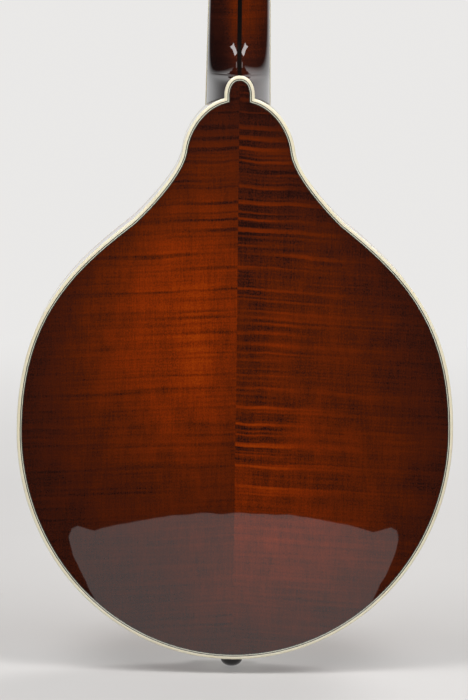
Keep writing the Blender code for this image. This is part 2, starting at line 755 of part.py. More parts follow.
def tuner_plate(side):
    """The base plate and its shaft lugs, folded up from one piece."""
    x_low, x_high = TUNER_PLATE_X
    v_low, v_high = TUNER_PLATE_V
    w_low, w_high = TUNER_PLATE_W
    lug_half = 2.9
    lug_end = WORM_AXIS_W - 2.7
    name = "tuner_plate_" + ("bass" if side > 0 else "treble")
    outline = [(side * x_low, v_low), (side * x_high, v_low), (side * x_high, v_high), (side * x_low, v_high)]
    plate = add_part(name, head_slab(outline, w_low, w_high), "nickel")
    for index, station in enumerate(POST_STATIONS):
        for part, (low, high) in enumerate(LUG_SPANS):
            label = name + "_lug" + str(index + 1) + str(part + 1)
            middle = station + WORM_OFFSET
            outline = [(side * low, middle - lug_half), (side * high, middle - lug_half)]
            outline += [(side * high, middle + lug_half), (side * low, middle + lug_half)]
            lug = mesh_object(label, head_slab(outline, lug_end, w_low + 0.4), CUTTERS)
            lug.hide_render = True
            lug.display_type = "WIRE"
            step = plate.modifiers.new(label, "BOOLEAN")
            step.operation = "UNION"
            step.solver = "EXACT"
            step.object = lug
    for index, station in enumerate(POST_STATIONS):
        radius = SHAFT_RADIUS + RUNNING_GAP
        bore = turned(((radius, 5.0), (radius, 30.0)), ROUND_SIDES, shaft_place(side, station + WORM_OFFSET))
        cut(plate, bore, name + "_bore" + str(index + 1))
        radius = POST_RADIUS + RUNNING_GAP
        hole = turned(((radius, -25.0), (radius, 10.0)), 2 * GEAR_TEETH, post_place(side, station))
        cut(plate, hole, name + "_hole" + str(index + 1))


def build_head():
    face = add_part("headstock_overlay", overlay(), "ebony")
    cut(face, channel_shape(), "overlay_channel")
    for name, side in (("bass", 1), ("treble", -1)):
        tuner_plate(side)
        for index, v in enumerate(POST_STATIONS):
            number = str(index + 1)
            hole = turned(((3.5, -25.0), (3.5, 10.0)), ROUND_SIDES, post_place(side, v))
            cut(face, hole, "overlay_hole_" + name + number)
            origin = head_point(side * POST_X, v, 0.0)
            add_part("tuner_post_" + name + "_" + number, gear_and_post(side, v), "brass", origin)
            origin = head_point(side * 17.0, v + WORM_OFFSET, WORM_AXIS_W)
            add_part("tuner_knob_" + name + "_" + number, knob(side, v), "pearl", origin)
    half = ((4.2, 1.5), (5.6, 4.0), (7.4, 10.0), (7.6, 16.0), (5.0, 22.0), (2.4, 27.5), (1.0, 30.0))
    outline = list(half) + [(-x, v) for x, v in reversed(half)]
    low = OVERLAY_THICKNESS + 0.15
    add_part("truss_rod_cover", head_slab(outline, low, low + 1.6), "ebony")


# ---------------------------------------------------------------- bridge, tailpiece, strings
def bridge_base():
    stations = (-57.0, -50.0, -42.0, -34.0, -28.0, -20.0, -10.0, 0.0, 10.0, 20.0, 28.0, 34.0, 42.0, 50.0, 57.0)
    sections = []
    for x in stations:
        lift = 1.3 if abs(x) <= 20 else 0.0
        half = BASE_HALF_WIDTH - 2.0 * max(0.0, abs(x) - 34) / 23
        near, far = BRIDGE_Z - half, BRIDGE_Z + half
        floor_near = top_surface(x, near) + 0.3 + lift
        floor_far = top_surface(x, far) + 0.3 + lift
        share = max(0.0, abs(x) - 34) / 23
        roof = BASE_TOP_Y * (1 - share) + (max(floor_near, floor_far) + 3.0) * share
        sections.append([(x, floor_near, near), (x, floor_far, far), (x, roof, far), (x, roof, near)])
    return loft(sections)


def bridge_saddle():
    sections = []
    low, high = SADDLE_Y
    for x, roof in ((-SADDLE_HALF_LENGTH, low + 3.5), (-32.0, low + 4.6), (-24.0, high),
                    (24.0, high), (32.0, low + 4.6), (SADDLE_HALF_LENGTH, low + 3.5)):
        half = 1.3 + 1.7 * (high - roof) / (high - low)
        sections.append([
            (x, low, BRIDGE_Z - 3.2), (x, low, BRIDGE_Z + 3.2),
            (x, roof, BRIDGE_Z + half), (x, roof, BRIDGE_Z - half),
        ])
    return loft(sections)


def build_bridge():
    base = add_part("bridge_base", bridge_base(), "ebony")
    saddle = add_part("bridge_saddle", bridge_saddle(), "ebony", (0.0, SADDLE_Y[0], BRIDGE_Z))
    for name, side in (("bass", 1), ("treble", -1)):
        place = along_y(side * BRIDGE_POST_X, BRIDGE_Z)
        bore = BRIDGE_POST_RADIUS + RUNNING_GAP
        cut(base, turned(((bore, BRIDGE_POST_Y[0] - 0.1), (bore, 60.0)), 24, place), "post_socket_" + name)
        cut(saddle, turned(((bore, 30.0), (bore, SADDLE_BORE_TOP)), 24, place), "post_bore_" + name)
        post = ((BRIDGE_POST_RADIUS, BRIDGE_POST_Y[0]), (BRIDGE_POST_RADIUS, BRIDGE_POST_Y[1]))
        add_part("bridge_post_" + name, turned(post, 24, place), "brass")
        wheel = tube(WHEEL_BORE_RADIUS, WHEEL_RADIUS, WHEEL_Y[0], WHEEL_Y[1], 24, place)
        origin = (side * BRIDGE_POST_X, sum(WHEEL_Y) / 2, BRIDGE_Z)
        add_part("thumbwheel_" + name, wheel, "brass", origin)


def build_tailpiece():
    plate = [
        (6.6, -8.0), (6.6, 22.2), (7.2, 23.9), (9.0, 24.5), (42.0, 28.9), (42.0, 32.6), (44.0, 32.6),
        (44.0, 29.2), (58.0, 31.0), (58.0, 30.0), (9.3, 23.5), (8.0, 23.2), (7.6, 22.0), (7.6, -8.0),
    ]
    base = add_part("tailpiece_base", prism_x(plate, -TAIL_PLATE_HALF, TAIL_PLATE_HALF), "nickel")
    cut(base, turned(((4.15, 5.0), (4.15, 10.0)), ROUND_SIDES, along_z(0.0, 0.0)), "tailpiece_hole")
    outer = [(5.5, 20.0), (5.5, 27.0), (9.0, 30.4), (30.0, 34.6), (62.0, 36.2), (62.0, 31.2), (9.0, 25.3), (7.0, 20.0)]
    inner = [(6.3, 10.0), (6.3, 26.7), (9.5, 29.6), (30.2, 33.8), (63.0, 35.45), (63.0, 10.0)]
    cover = add_part("tailpiece_cover", prism_x(outer, -COVER_HALF, COVER_HALF), "nickel")
    hollow = prism_x(inner, -COVER_HALF + COVER_WALL, COVER_HALF - COVER_WALL)
    cut(cover, hollow, "cover_hollow")


def string_shape(points, radius):
    sections = []
    for index, point in enumerate(points):
        before = Vector(points[max(index - 1, 0)])
        after = Vector(points[min(index + 1, len(points) - 1)])
        heading = (after - before).normalized()
        across = Vector((1.0, 0.0, 0.0))
        across = (across - heading * across.dot(heading)).normalized()
        up = heading.cross(across)
        middle = Vector(point)
        sections.append([tuple(middle + (across * c + up * s) * radius) for c, s in circle(6)])
    return loft(sections)


def build_strings():
    """Each course's outer string goes to the nearer of its two posts."""
    courses = (("g", 1, 19.2, 11.6, 11.8, (0, 1)), ("d", 1, 6.4, 3.9, 4.2, (2, 3)),
               ("a", -1, 6.4, 3.9, 4.2, (2, 3)), ("e", -1, 19.2, 11.6, 11.8, (0, 1)))
    for name, side, at_saddle, at_nut, at_hook, posts in courses:
        radius = STRING_RADII[name]
        for number, offset in ((1, 1.0), (2, -1.0)):
            station = POST_STATIONS[posts[number - 1]]
            winding_x = POST_X - POST_RADIUS - radius - 0.15
            saddle_y = SADDLE_Y[1] + STRING_REST_GAP + radius
            nut_y = NUT_TOP_Y + STRING_REST_GAP + radius
            points = [
                (side * (at_hook + 1.7 * offset), HOOK_Y, HOOK_Z),
                (side * (at_saddle + 1.3 * offset), saddle_y, BRIDGE_Z - 1.3),
                (side * (at_saddle + 1.3 * offset), saddle_y, BRIDGE_Z + 1.3),
                (side * (at_nut + 1.1 * offset), nut_y, NUT_Z + 0.2),
                (side * (at_nut + 1.1 * offset), nut_y, NUT_Z + 2.6),
                head_point(side * winding_x, station, 8.0),
            ]
            kind = "brass" if name in "gd" else "steel"
            add_part("string_" + name + str(number), string_shape(points, radius), kind)


def finish_parts():
    for item in PARTS.objects:
        for face in item.data.polygons:
            face.use_smooth = False


clear_scene()
PARTS = new_collection("mandolin")
CUTTERS = new_collection("cutters")
ARCH = arch_tables()
build_body()
build_neck()
build_head()
build_bridge()
build_tailpiece()
build_strings()
finish_parts()
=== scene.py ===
"""Looks of the A-style mandolin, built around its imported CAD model.

Dimensions are in millimetres, in the CAD model's frame, and become metres when a mesh is made.
The back faces -Y, the strings face +Y, +X is the bass side and Z runs up to the headstock.
"""

import math
from collections import namedtuple

import bmesh
import bpy
import numpy as np
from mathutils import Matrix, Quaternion, Vector


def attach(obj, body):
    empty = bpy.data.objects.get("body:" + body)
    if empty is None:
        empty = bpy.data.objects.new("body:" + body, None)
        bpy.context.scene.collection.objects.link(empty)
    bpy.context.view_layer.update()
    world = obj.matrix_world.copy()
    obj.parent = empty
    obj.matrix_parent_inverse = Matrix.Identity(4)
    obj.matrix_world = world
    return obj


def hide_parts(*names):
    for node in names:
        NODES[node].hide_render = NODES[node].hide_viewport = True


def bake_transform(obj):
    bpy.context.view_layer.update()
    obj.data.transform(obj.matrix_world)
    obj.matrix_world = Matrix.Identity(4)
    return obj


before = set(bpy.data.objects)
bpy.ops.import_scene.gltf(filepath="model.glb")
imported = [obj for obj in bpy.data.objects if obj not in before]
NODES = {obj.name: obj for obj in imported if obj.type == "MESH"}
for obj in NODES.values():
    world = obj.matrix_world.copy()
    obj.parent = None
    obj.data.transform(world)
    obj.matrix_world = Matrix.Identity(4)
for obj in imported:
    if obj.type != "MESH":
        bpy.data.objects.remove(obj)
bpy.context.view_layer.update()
MM = 0.001
ROOT = "mandolin"
SIDES = (("bass", 1), ("treble", -1))

# ---- body ----
TAIL_Z = 8.0
HALF_WIDTH = 127.0
BOUT_HEIGHT = 134.0
WAIST_POINT = (62.5, 256.1)
WAIST_ANGLE = 52.0
SHOULDER_POINT = (32.7, 297.4)
SHOULDER_ANGLE = 6.9
NECK_CORNER = (8.8, 328.0)
NECK_CORNER_ANGLE = 75.9
BUTTON_WAIST = 1.9
BUTTON_TIP = 341.1
GLUE_PLANE = 18.3
EDGE_PLANE = 22.7
ARCH_CENTRE_Z = 155.0
ARCH_ELLIPSE = (122.0, 162.0)
BACK_ARCH = 12.5
TOP_ARCH = 15.5
ARCH_POWER = 1.6
INNER_POWER = 1.25
INNER_MARGIN = 15.0
SCOOP_DEPTH = 0.4
SCOOP_START = 4.0
SCOOP_WIDTH = 24.0
BINDING_WIDTH = 1.8
PURFLING_WIDTH = 0.46
RIB_HALF_HEIGHT = 18.0
RIB_THICKNESS = 2.2
DETAIL = 3
RING_COUNT = 36
BEVEL_ANGLE = 40.0

HOLE_TOP = (50.0, 216.0, 5.4)
HOLE_BOTTOM = (80.0, 141.0, 6.6)
HOLE_STEM_HALF = 3.6
HOLE_SWING = 9.0
HOLE_CUT = (10.0, 50.0)

# ---- neck and headstock ----
SCALE_LENGTH = 352.4
NECK_SLOPE = 0.0963
JOINT_Z = 334.0
BOARD_Y_AT_JOINT = 35.9
BOARD_THICKNESS = 5.0
BOARD_HALF_AT_NUT = 16.0
BOARD_HALF_AT_JOINT = 19.3
BOARD_OVERHANG = 0.5
BOARD_BINDING = 1.3
FRET_COUNT = 20
FRET_HALF = 1.0
FRET_HEIGHT = 1.1
DOT_FRETS = (3, 5, 7, 10, 12, 15, 17)
OCTAVE = 12
NUT_Z = 537.5
NUT_TOP_Y = 17.7
NUT_HALF = 15.8
BOARD_END_Z = 292.5
STRIP_HALF = 1.25
RISER_HALF = 16.0
TENON_HALF = 7.5
TENON_END = 314.0
HEEL_FLOOR = -18.15
BACK_FLAT = 1.9
JOINT_GAP = 0.12
SEAM = 0.15
CHANNEL_HALF = 3.3
CHANNEL_DEPTH = 8.6
CHANNEL_SPAN = (345.0, 558.0)
HEAD_START_Z = 542.5
HEAD_ANGLE = 19.5
HEAD_OUTLINE = (
    (0.0, 16.1), (7.0, 17.3), (13.0, 21.8), (20.0, 28.0), (29.0, 31.3), (42.0, 31.0), (72.0, 28.8),
    (104.0, 27.0), (124.0, 26.4), (134.0, 24.8), (142.0, 19.0), (147.0, 10.0), (149.0, 3.0),
)
HEAD_THICKNESS = ((0.0, 16.0), (13.0, 15.0), (20.0, 14.5), (149.0, 14.5))
OVERLAY_THICKNESS = 1.8
INLAY = ((0.0, 62.0), (3.4, 70.0), (0.0, 78.0), (-3.4, 70.0))
TRUSS_COVER = ((4.2, 1.5), (5.6, 4.0), (7.4, 10.0), (7.6, 16.0), (5.0, 22.0), (2.4, 27.5), (1.0, 30.0))
SIDE_POINTS = 22

# ---- tuners ----
POST_X = 17.0
POST_STATIONS = (32.0, 55.0, 78.0, 101.0)
POST_RADIUS = 3.0
POST_TOP = 15.0
WINDING_W = 8.0
GEAR_TEETH = 16
GEAR_RADIUS = 4.9
GEAR_ROOT = 4.0
GEAR_SPAN = (-20.3, -16.5)
WORM_OFFSET = 7.3
WORM_AXIS_W = -18.4
PLATE_W = (-15.9, -14.7)
POST_HOLE = 3.5
WINDING_TURNS = 3.4
WINDING_REACH = 2.75
WORM_PITCH = 1.9

# ---- bridge, tailpiece and strings ----
BRIDGE_Z = 185.0
BASE_TOP_Y = 43.0
WHEEL_Y = (44.7, 46.8)
WHEEL_RADIUS = 6.5
SADDLE_Y = (46.95, 53.7)
SADDLE_HALF = 37.0
BRIDGE_POST_X = 27.5
BRIDGE_POST_THREAD = (1.86, 0.14, 0.7)
WHEEL_BORE = 2.07
BRIDGE_POST_Y = (39.6, 50.6)
COVER_HALF = 18.3
HOOK_Z = 44.3
HOOK_Y = 31.0
STRING_RADII = {"g": 0.5, "d": 0.33, "a": 0.21, "e": 0.15}
STRING_GAP = 0.05
HALF_COURSE = {"saddle": 1.3, "nut": 1.1, "hook": 1.7}
Course = namedtuple("Course", "name side saddle nut hook posts")
COURSES = (
    Course("g", 1, 19.2, 11.6, 11.8, (0, 1)), Course("d", 1, 6.4, 3.9, 4.2, (2, 3)),
    Course("a", -1, 6.4, 3.9, 4.2, (2, 3)), Course("e", -1, 19.2, 11.6, 11.8, (0, 1)),
)
PAIR = ((1, 1), (2, -1))

# ---- picture ----
PICTURE_HEIGHT_MM = 406.2
CAMERA_DISTANCE = 2.1
CAMERA_ELEVATION = 6.0
CAMERA_AZIMUTH = -1.0
CAMERA_TARGET = (-1.3, -22.7, 190.3)
CAMERA_ROLL = 0.77
SENSOR = 36.0
GLOW_GAIN = 1.86
FLAME_SLOPE = 0.06

# ---- surroundings ----
BACKDROP = (0.82, 0.81, 0.80, 1.0)
WORLD_FRONT = 0.03
WORLD_BEHIND = 1.1
WORLD_EDGE = (0.66, 0.82)
BRIGHT_WAY = (0.11, 0.965, 0.19)
LAMPS = (
    ("box_left", (-0.62, -0.85, 1.65), (0.65, 1.1), 22.0),
    ("box_right", (0.62, -0.85, 1.65), (0.65, 1.1), 22.0),
    ("string_side", (0.8, 1.3, 1.3), (0.9, 0.9), 20.0),
)
CARD_GLOW = 1.15
FAR_GLOW = 0.5
FLOOR_HALF = 9000
FLOOR_Z = -1


# ---------------------------------------------------------------- mesh helpers
def finish_mesh(item, materials, body, node_names=(), slot=None, sharp=35.0, attributes=None):
    """Gives a new piece its materials, smooth shading, body and the CAD nodes it stands for."""
    mesh = item.data
    mesh.materials.clear()
    for shader in materials:
        mesh.materials.append(shader)
    mesh.shade_smooth()
    mesh.set_sharp_from_angle(angle=math.radians(sharp))
    if attributes:
        attributes(mesh)
    if body:
        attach(item, body)
    if node_names:
        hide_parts(*node_names)
    return item


def add_piece(name, shape, shaders, slot, nodes=(), sharp=35.0, body=ROOT, cuts=(), soften=None, tone=None):
    """A finished piece: its shape less the cuts, with edges softened by (width, segments)."""
    item = mesh_object(name, shape)
    cut(item, cuts)
    if soften:
        bevel(item, *soften)
    return finish_mesh(item, shaders, body, nodes, slot, sharp, tone)


def mesh_object(name, shape):
    """A closed mesh with outward faces in the frame's own place."""
    vertices, faces = shape
    mesh = bpy.data.meshes.new(name)
    mesh.from_pydata([tuple(c * MM for c in point) for point in vertices], [], faces)
    work = bmesh.new()
    work.from_mesh(mesh)
    bmesh.ops.recalc_face_normals(work, faces=work.faces)
    work.to_mesh(mesh)
    work.free()
    item = bpy.data.objects.new(name, mesh)
    bpy.context.scene.collection.objects.link(item)
    return item


def apply_modifiers(item):
    graph = bpy.context.evaluated_depsgraph_get()
    mesh = bpy.data.meshes.new_from_object(item.evaluated_get(graph))
    item.modifiers.clear()
    item.data = mesh


def cut(item, shapes):
    """Removes closed shapes from a piece, one after another."""
    for shape in shapes:
        cutter = mesh_object("cutter", shape)
        step = item.modifiers.new("cut", "BOOLEAN")
        step.operation = "DIFFERENCE"
        step.solver = "EXACT"
        step.object = cutter
        apply_modifiers(item)
        bpy.data.objects.remove(cutter, do_unlink=True)


def bevel(item, width, segments):
    step = item.modifiers.new("bevel", "BEVEL")
    step.width = width * MM
    step.segments = segments
    step.limit_method = "ANGLE"
    step.angle_limit = math.radians(BEVEL_ANGLE)
    apply_modifiers(item)


def loft(sections, ring=False):
    """Skins a row of loops: closed into a ring, or else capped at both ends."""
    count = len(sections[0])
    vertices = [tuple(point) for section in sections for point in section]
    faces = []
    for index in range(len(sections) if ring else len(sections) - 1):
        low = index * count
        high = ((index + 1) % len(sections)) * count
        for k in range(count):
            after = (k + 1) % count
            faces.append((low + k, low + after, high + after, high + k))
    if not ring:
        faces.append(tuple(range(count)))
        faces.append(tuple(range(len(vertices) - count, len(vertices))))
    return vertices, faces


def prism_y(outline, y_low, y_high):
    return loft([[(x, y, z) for x, z in outline] for y in (y_low, y_high)])


def prism_x(profile, x_low, x_high):
    return loft([[(x, y, z) for z, y in profile] for x in (x_low, x_high)])


def smooth_step(share):
    return share * share * (3 - 2 * share)


def circle(sides):
    steps = [2 * math.pi * k / sides for k in range(sides)]
    return [(math.cos(a), math.sin(a)) for a in steps]


def turned(profile, sides, place):
    """Revolves (radius, height) pairs; place maps (across, across, along) to a point."""
    return loft([[place(r * c, r * s, h) for c, s in circle(sides)] for r, h in profile])


def oblong(half_a, half_b):
    return [(-half_a, -half_b), (half_a, -half_b), (half_a, half_b), (-half_a, half_b)]


def bore(radius, low, high, sides, place):
    """A round cutter."""
    return turned(((radius, low), (radius, high)), sides, place)


def ring_shape(profile, sides, place):
    """Revolves a closed (radius, height) outline around an open bore."""
    return loft([[place(r * c, r * s, h) for r, h in profile] for c, s in circle(sides)], ring=True)


def along_y(x, z):
    return lambda a, b, h: (x + a, h, z + b)


def along_z(x, y):
    return lambda a, b, h: (x + a, y + b, h)


def tube(points, radius, sides=10):
    sections = []
    side = Vector((1.0, 0.0, 0.0))
    for index, point in enumerate(points):
        before = Vector(points[max(index - 1, 0)])
        after = Vector(points[min(index + 1, len(points) - 1)])
        heading = (after - before).normalized()
        side = (side - heading * side.dot(heading)).normalized()
        up = heading.cross(side)
        sections.append([tuple(Vector(point) + (side * c + up * s) * radius) for c, s in circle(sides)])
    return loft(sections)


def smooth_curve(keys, values, at):
    """Monotone cubic interpolation through the given values."""
    keys, values, at = (np.asarray(v, float) for v in (keys, values, at))
    steps = np.diff(keys)
    slopes = np.diff(values) / steps
    tangents = np.zeros_like(values)
    same_sign = slopes[:-1] * slopes[1:] > 0
    mean = 2 * slopes[:-1] * slopes[1:] / np.where(same_sign, slopes[:-1] + slopes[1:], 1.0)
    tangents[1:-1] = np.where(same_sign, mean, 0.0)
    tangents[0], tangents[-1] = slopes[0], slopes[-1]
    index = np.clip(np.searchsorted(keys, at) - 1, 0, len(keys) - 2)
    t = (at - keys[index]) / steps[index]
    h = steps[index]
    return (
        values[index] * (1 + 2 * t) * (1 - t) ** 2 + tangents[index] * h * t * (1 - t) ** 2
        + values[index + 1] * t * t * (3 - 2 * t) + tangents[index + 1] * h * t * t * (t - 1)
    )


def store(mesh, name, values, domain="POINT", kind="FLOAT"):
    attribute = mesh.attributes.new(name, kind, domain)
    flat = np.asarray(values, np.float32).ravel()
    attribute.data.foreach_set("vector" if kind == "FLOAT_VECTOR" else "value", flat)


def store_grain(mesh, x, y, z, domain="POINT"):
    """Keeps the wood's own coordinates with the mesh, in metres."""
    points = np.stack(np.broadcast_arrays(x, y, z), axis=1) * MM
    store(mesh, "grain", points, domain, "FLOAT_VECTOR")


def read(items, name, kind=np.float32, width=1):
    flat = np.zeros(len(items) * width, kind)
    items.foreach_get(name, flat)
    return flat


def positions(mesh):
    return read(mesh.vertices, "co", width=3).reshape(-1, 3).astype(float) / MM


# ---------------------------------------------------------------- body outline and arching
def direction(angle):
    return np.array((-math.sin(math.radians(angle)), math.cos(math.radians(angle))))


def bezier(start, start_handle, end_handle, end, steps):
    t = np.linspace(0.0, 1.0, steps + 1)[1:, None]
    return (
        start * (1 - t) ** 3 + start_handle * 3 * t * (1 - t) ** 2
        + end_handle * 3 * t ** 2 * (1 - t) + end * t ** 3
    )


def half_outline(detail=DETAIL):
    steps = 14 * detail
    angles = np.linspace(0.0, math.pi / 2, steps + 1)
    lower = np.stack((HALF_WIDTH * np.sin(angles), BOUT_HEIGHT * (1 - np.cos(angles))), axis=1)
    bout = np.array((HALF_WIDTH, BOUT_HEIGHT))
    waist = np.array(WAIST_POINT)
    shoulder = np.array(SHOULDER_POINT)
    corner = np.array(NECK_CORNER)
    pieces = (
        bezier(bout, bout + 64.4 * direction(0), waist - 46.5 * direction(WAIST_ANGLE), waist, 9 * detail),
        bezier(
            waist, waist + 4.8 * direction(WAIST_ANGLE),
            shoulder - 13.95 * direction(SHOULDER_ANGLE), shoulder, 4 * detail,
        ),
        bezier(
            shoulder, shoulder + 15.8 * direction(SHOULDER_ANGLE),
            corner - 11.2 * direction(NECK_CORNER_ANGLE), corner, 5 * detail,
        ),
    )
    path = np.concatenate((lower,) + pieces)
    path[:, 1] += TAIL_Z
    return path


def with_button(path):
    """Adds the heel button: a short straight flank, then a round end."""
    half, base = NECK_CORNER
    waist = np.array((half, base + BUTTON_WAIST))
    tip = np.array((0.0, BUTTON_TIP))
    bow = bezier(waist, waist + (-0.2, 6.6), tip + (5.4, 0.0), tip, 6 * DETAIL)
    flank = np.array([(half, base + BUTTON_WAIST * t) for t in (0.5, 1.0)])
    button = np.concatenate((flank, bow))
    button[:, 1] += TAIL_Z
    button[-1, 0] = 0.0
    return np.concatenate((path, button))


def with_flat_end(path):
    return np.concatenate((path, [(0.0, NECK_CORNER[1] + TAIL_Z)]))


def inset(path, distance):
    mirrored = path[1:2] * (-1, 1)
    closed_end = path[-1, 0] == 0.0
    after = path[-2:-1] * (-1, 1) if closed_end else path[-1:] + (path[-1:] - path[-2:-1])
    extended = np.concatenate((mirrored, path, after))
    edges = np.diff(extended, axis=0)
    edges /= np.linalg.norm(edges, axis=1)[:, None]
    normals = np.stack((-edges[:, 1], edges[:, 0]), axis=1)
    mitre = normals[:-1] + normals[1:]
    mitre /= (mitre * normals[:-1]).sum(axis=1)[:, None]
    moved = path + mitre * distance
    moved[0, 0] = 0.0
    if closed_end:
        moved[-1, 0] = 0.0
    return moved


def closed_loop(path):
    other = path[::-1] * (-1, 1)
    return np.concatenate((path, other[1:-1]))


def arch_tables():
    path = half_outline(4)
    offset = path - np.array((0.0, TAIL_Z + ARCH_CENTRE_Z))
    edge = np.gradient(path, axis=0)
    normal = np.stack((edge[:, 1], -edge[:, 0]), axis=1)
    normal /= np.linalg.norm(normal, axis=1)[:, None]
    angle = np.arctan2(offset[:, 0], offset[:, 1])[::-1]
    reach = np.linalg.norm(offset, axis=1)[::-1]
    support = (offset * normal).sum(axis=1)[::-1]
    return angle, reach, support


ARCH = arch_tables()


def arch(x, z, height, inner=False):
    """Height of the plate surface above its flat edge."""
    x, z = np.asarray(x, float), np.asarray(z, float)
    z_offset = z - TAIL_Z - ARCH_CENTRE_Z
    angle = np.arctan2(np.abs(x), z_offset)
    distance = np.hypot(x, z_offset)
    support = np.interp(angle, ARCH[0], ARCH[2])
    edge_share = distance / np.interp(angle, ARCH[0], ARCH[1])
    wide, tall = ARCH_ELLIPSE
    round_share = np.hypot(x / wide, z_offset / tall)
    mix = smooth_step(np.clip((edge_share - 0.35) / 0.6, 0.0, 1.0))
    share = round_share * (1 - mix) + edge_share * mix
    if inner:
        share = share / (1 - INNER_MARGIN / support)
        return height * np.maximum(0.0, 1 - share * share) ** INNER_POWER
    depth = np.clip(((1 - edge_share) * support - SCOOP_START) / SCOOP_WIDTH, 0.0, 1.0)
    scoop = SCOOP_DEPTH * 6.75 * depth * (1 - depth) ** 2
    return height * np.maximum(0.0, 1 - share * share) ** ARCH_POWER - scoop


def edge_distance(x, z):
    """Distance in from the body's edge, in millimetres."""
    z_offset = z - TAIL_Z - ARCH_CENTRE_Z
    angle = np.arctan2(np.abs(x), z_offset)
    edge_share = np.hypot(x, z_offset) / np.interp(angle, ARCH[0], ARCH[1])
    return (1 - edge_share) * np.interp(angle, ARCH[0], ARCH[2])


# ---------------------------------------------------------------- materials
class Nodes:
    """A node tree with short ways to add and join nodes."""

    def __init__(self, tree):
        self.tree = tree

    def link(self, source, target):
        if isinstance(source, bpy.types.NodeSocket):
            self.tree.links.new(source, target)
        else:
            target.default_value = source

    def add(self, kind, inputs=None, output=0, **properties):
        node = self.tree.nodes.new("ShaderNode" + kind)
        for key, value in properties.items():
            setattr(node, key, value)
        for key, value in (inputs or {}).items():
            self.link(value, node.inputs[key])
        return node.outputs[output]


class Shader(Nodes):
    """A material, and the few patterns that the pieces' looks are made of."""

    def __init__(self, name, **settings):
        self.material = bpy.data.materials.new(name)
        self.material.use_nodes = True
        super().__init__(self.material.node_tree)
        self.surface = self.tree.nodes["Principled BSDF"]
        for socket, value in settings.items():
            self.surface.inputs[socket.replace("_", " ")].default_value = value

    def math(self, operation, a, b):
        return self.add("Math", {0: a, 1: b}, operation=operation)

    def total(self, *values):
        level = values[0]
        for value in values[1:]:
            level = self.math("ADD", level, value)
        return level

    def attribute(self, name, output="Fac"):
        return self.add("Attribute", output=output, attribute_name=name)

    def place(self):
        return self.add("TexCoord", output="Object")

    def scaled(self, vector, scale, shift=(0.0, 0.0, 0.0)):
        return self.add("Mapping", {"Vector": vector, "Scale": scale, "Location": shift})

    def noise(self, vector, detail, roughness=0.5, distortion=0.0):
        return self.add("TexNoise", {
            "Vector": vector, "Scale": 1.0, "Detail": detail,
            "Roughness": roughness, "Distortion": distortion,
        })

    def pattern(self, scale, detail=2.0, roughness=0.5, over=None, shift=(0.0, 0.0, 0.0), distortion=0.0):
        """Noise stretched by scale, over the object or over coordinates kept with the mesh."""
        over = self.place() if over is None else over
        return self.noise(self.scaled(over, scale, shift), detail, roughness, distortion)

    def spread(self, value, low, high, to_low=0.0, to_high=1.0):
        return self.add("MapRange", {0: value, 1: low, 2: high, 3: to_low, 4: to_high})

    def ramp(self, value, stops):
        node = self.tree.nodes.new("ShaderNodeValToRGB")
        self.link(value, node.inputs[0])
        elements = node.color_ramp.elements
        while len(elements) < len(stops):
            elements.new(0.5)
        for element, (at, color) in zip(elements, stops):
            element.position = at
            element.color = (*color, 1.0)
        return node.outputs[0]

    def bump(self, height, distance, strength, target="Normal"):
        normal = self.add("Bump", {"Height": height, "Distance": distance, "Strength": strength})
        self.link(normal, self.surface.inputs[target])

    def color(self, value, stops):
        """Base colour from a value along a ramp."""
        self.link(self.ramp(value, stops), self.surface.inputs["Base Color"])

    def roughness(self, value, low, high, at_low, at_high):
        self.link(self.spread(value, low, high, at_low, at_high), self.surface.inputs["Roughness"])

    def lacquer_waves(self, strength):
        """The slight unevenness of a hand-rubbed gloss."""
        self.bump(self.pattern((34.0, 34.0, 34.0), 1.5), 0.00022, strength, "Coat Normal")


WOOD_RAMP = (
    (0.0, (0.002, 0.001, 0.0015)), (0.05, (0.03, 0.0062, 0.0032)), (0.15, (0.09, 0.0125, 0.0016)),
    (0.35, (0.21, 0.023, 0.0011)), (0.65, (0.39, 0.058, 0.0022)), (1.0, (0.60, 0.13, 0.008)),
)
LACQUER = {"Coat_Weight": 1.0, "Coat_Roughness": 0.025, "Coat_IOR": 1.5, "Roughness": 0.42}


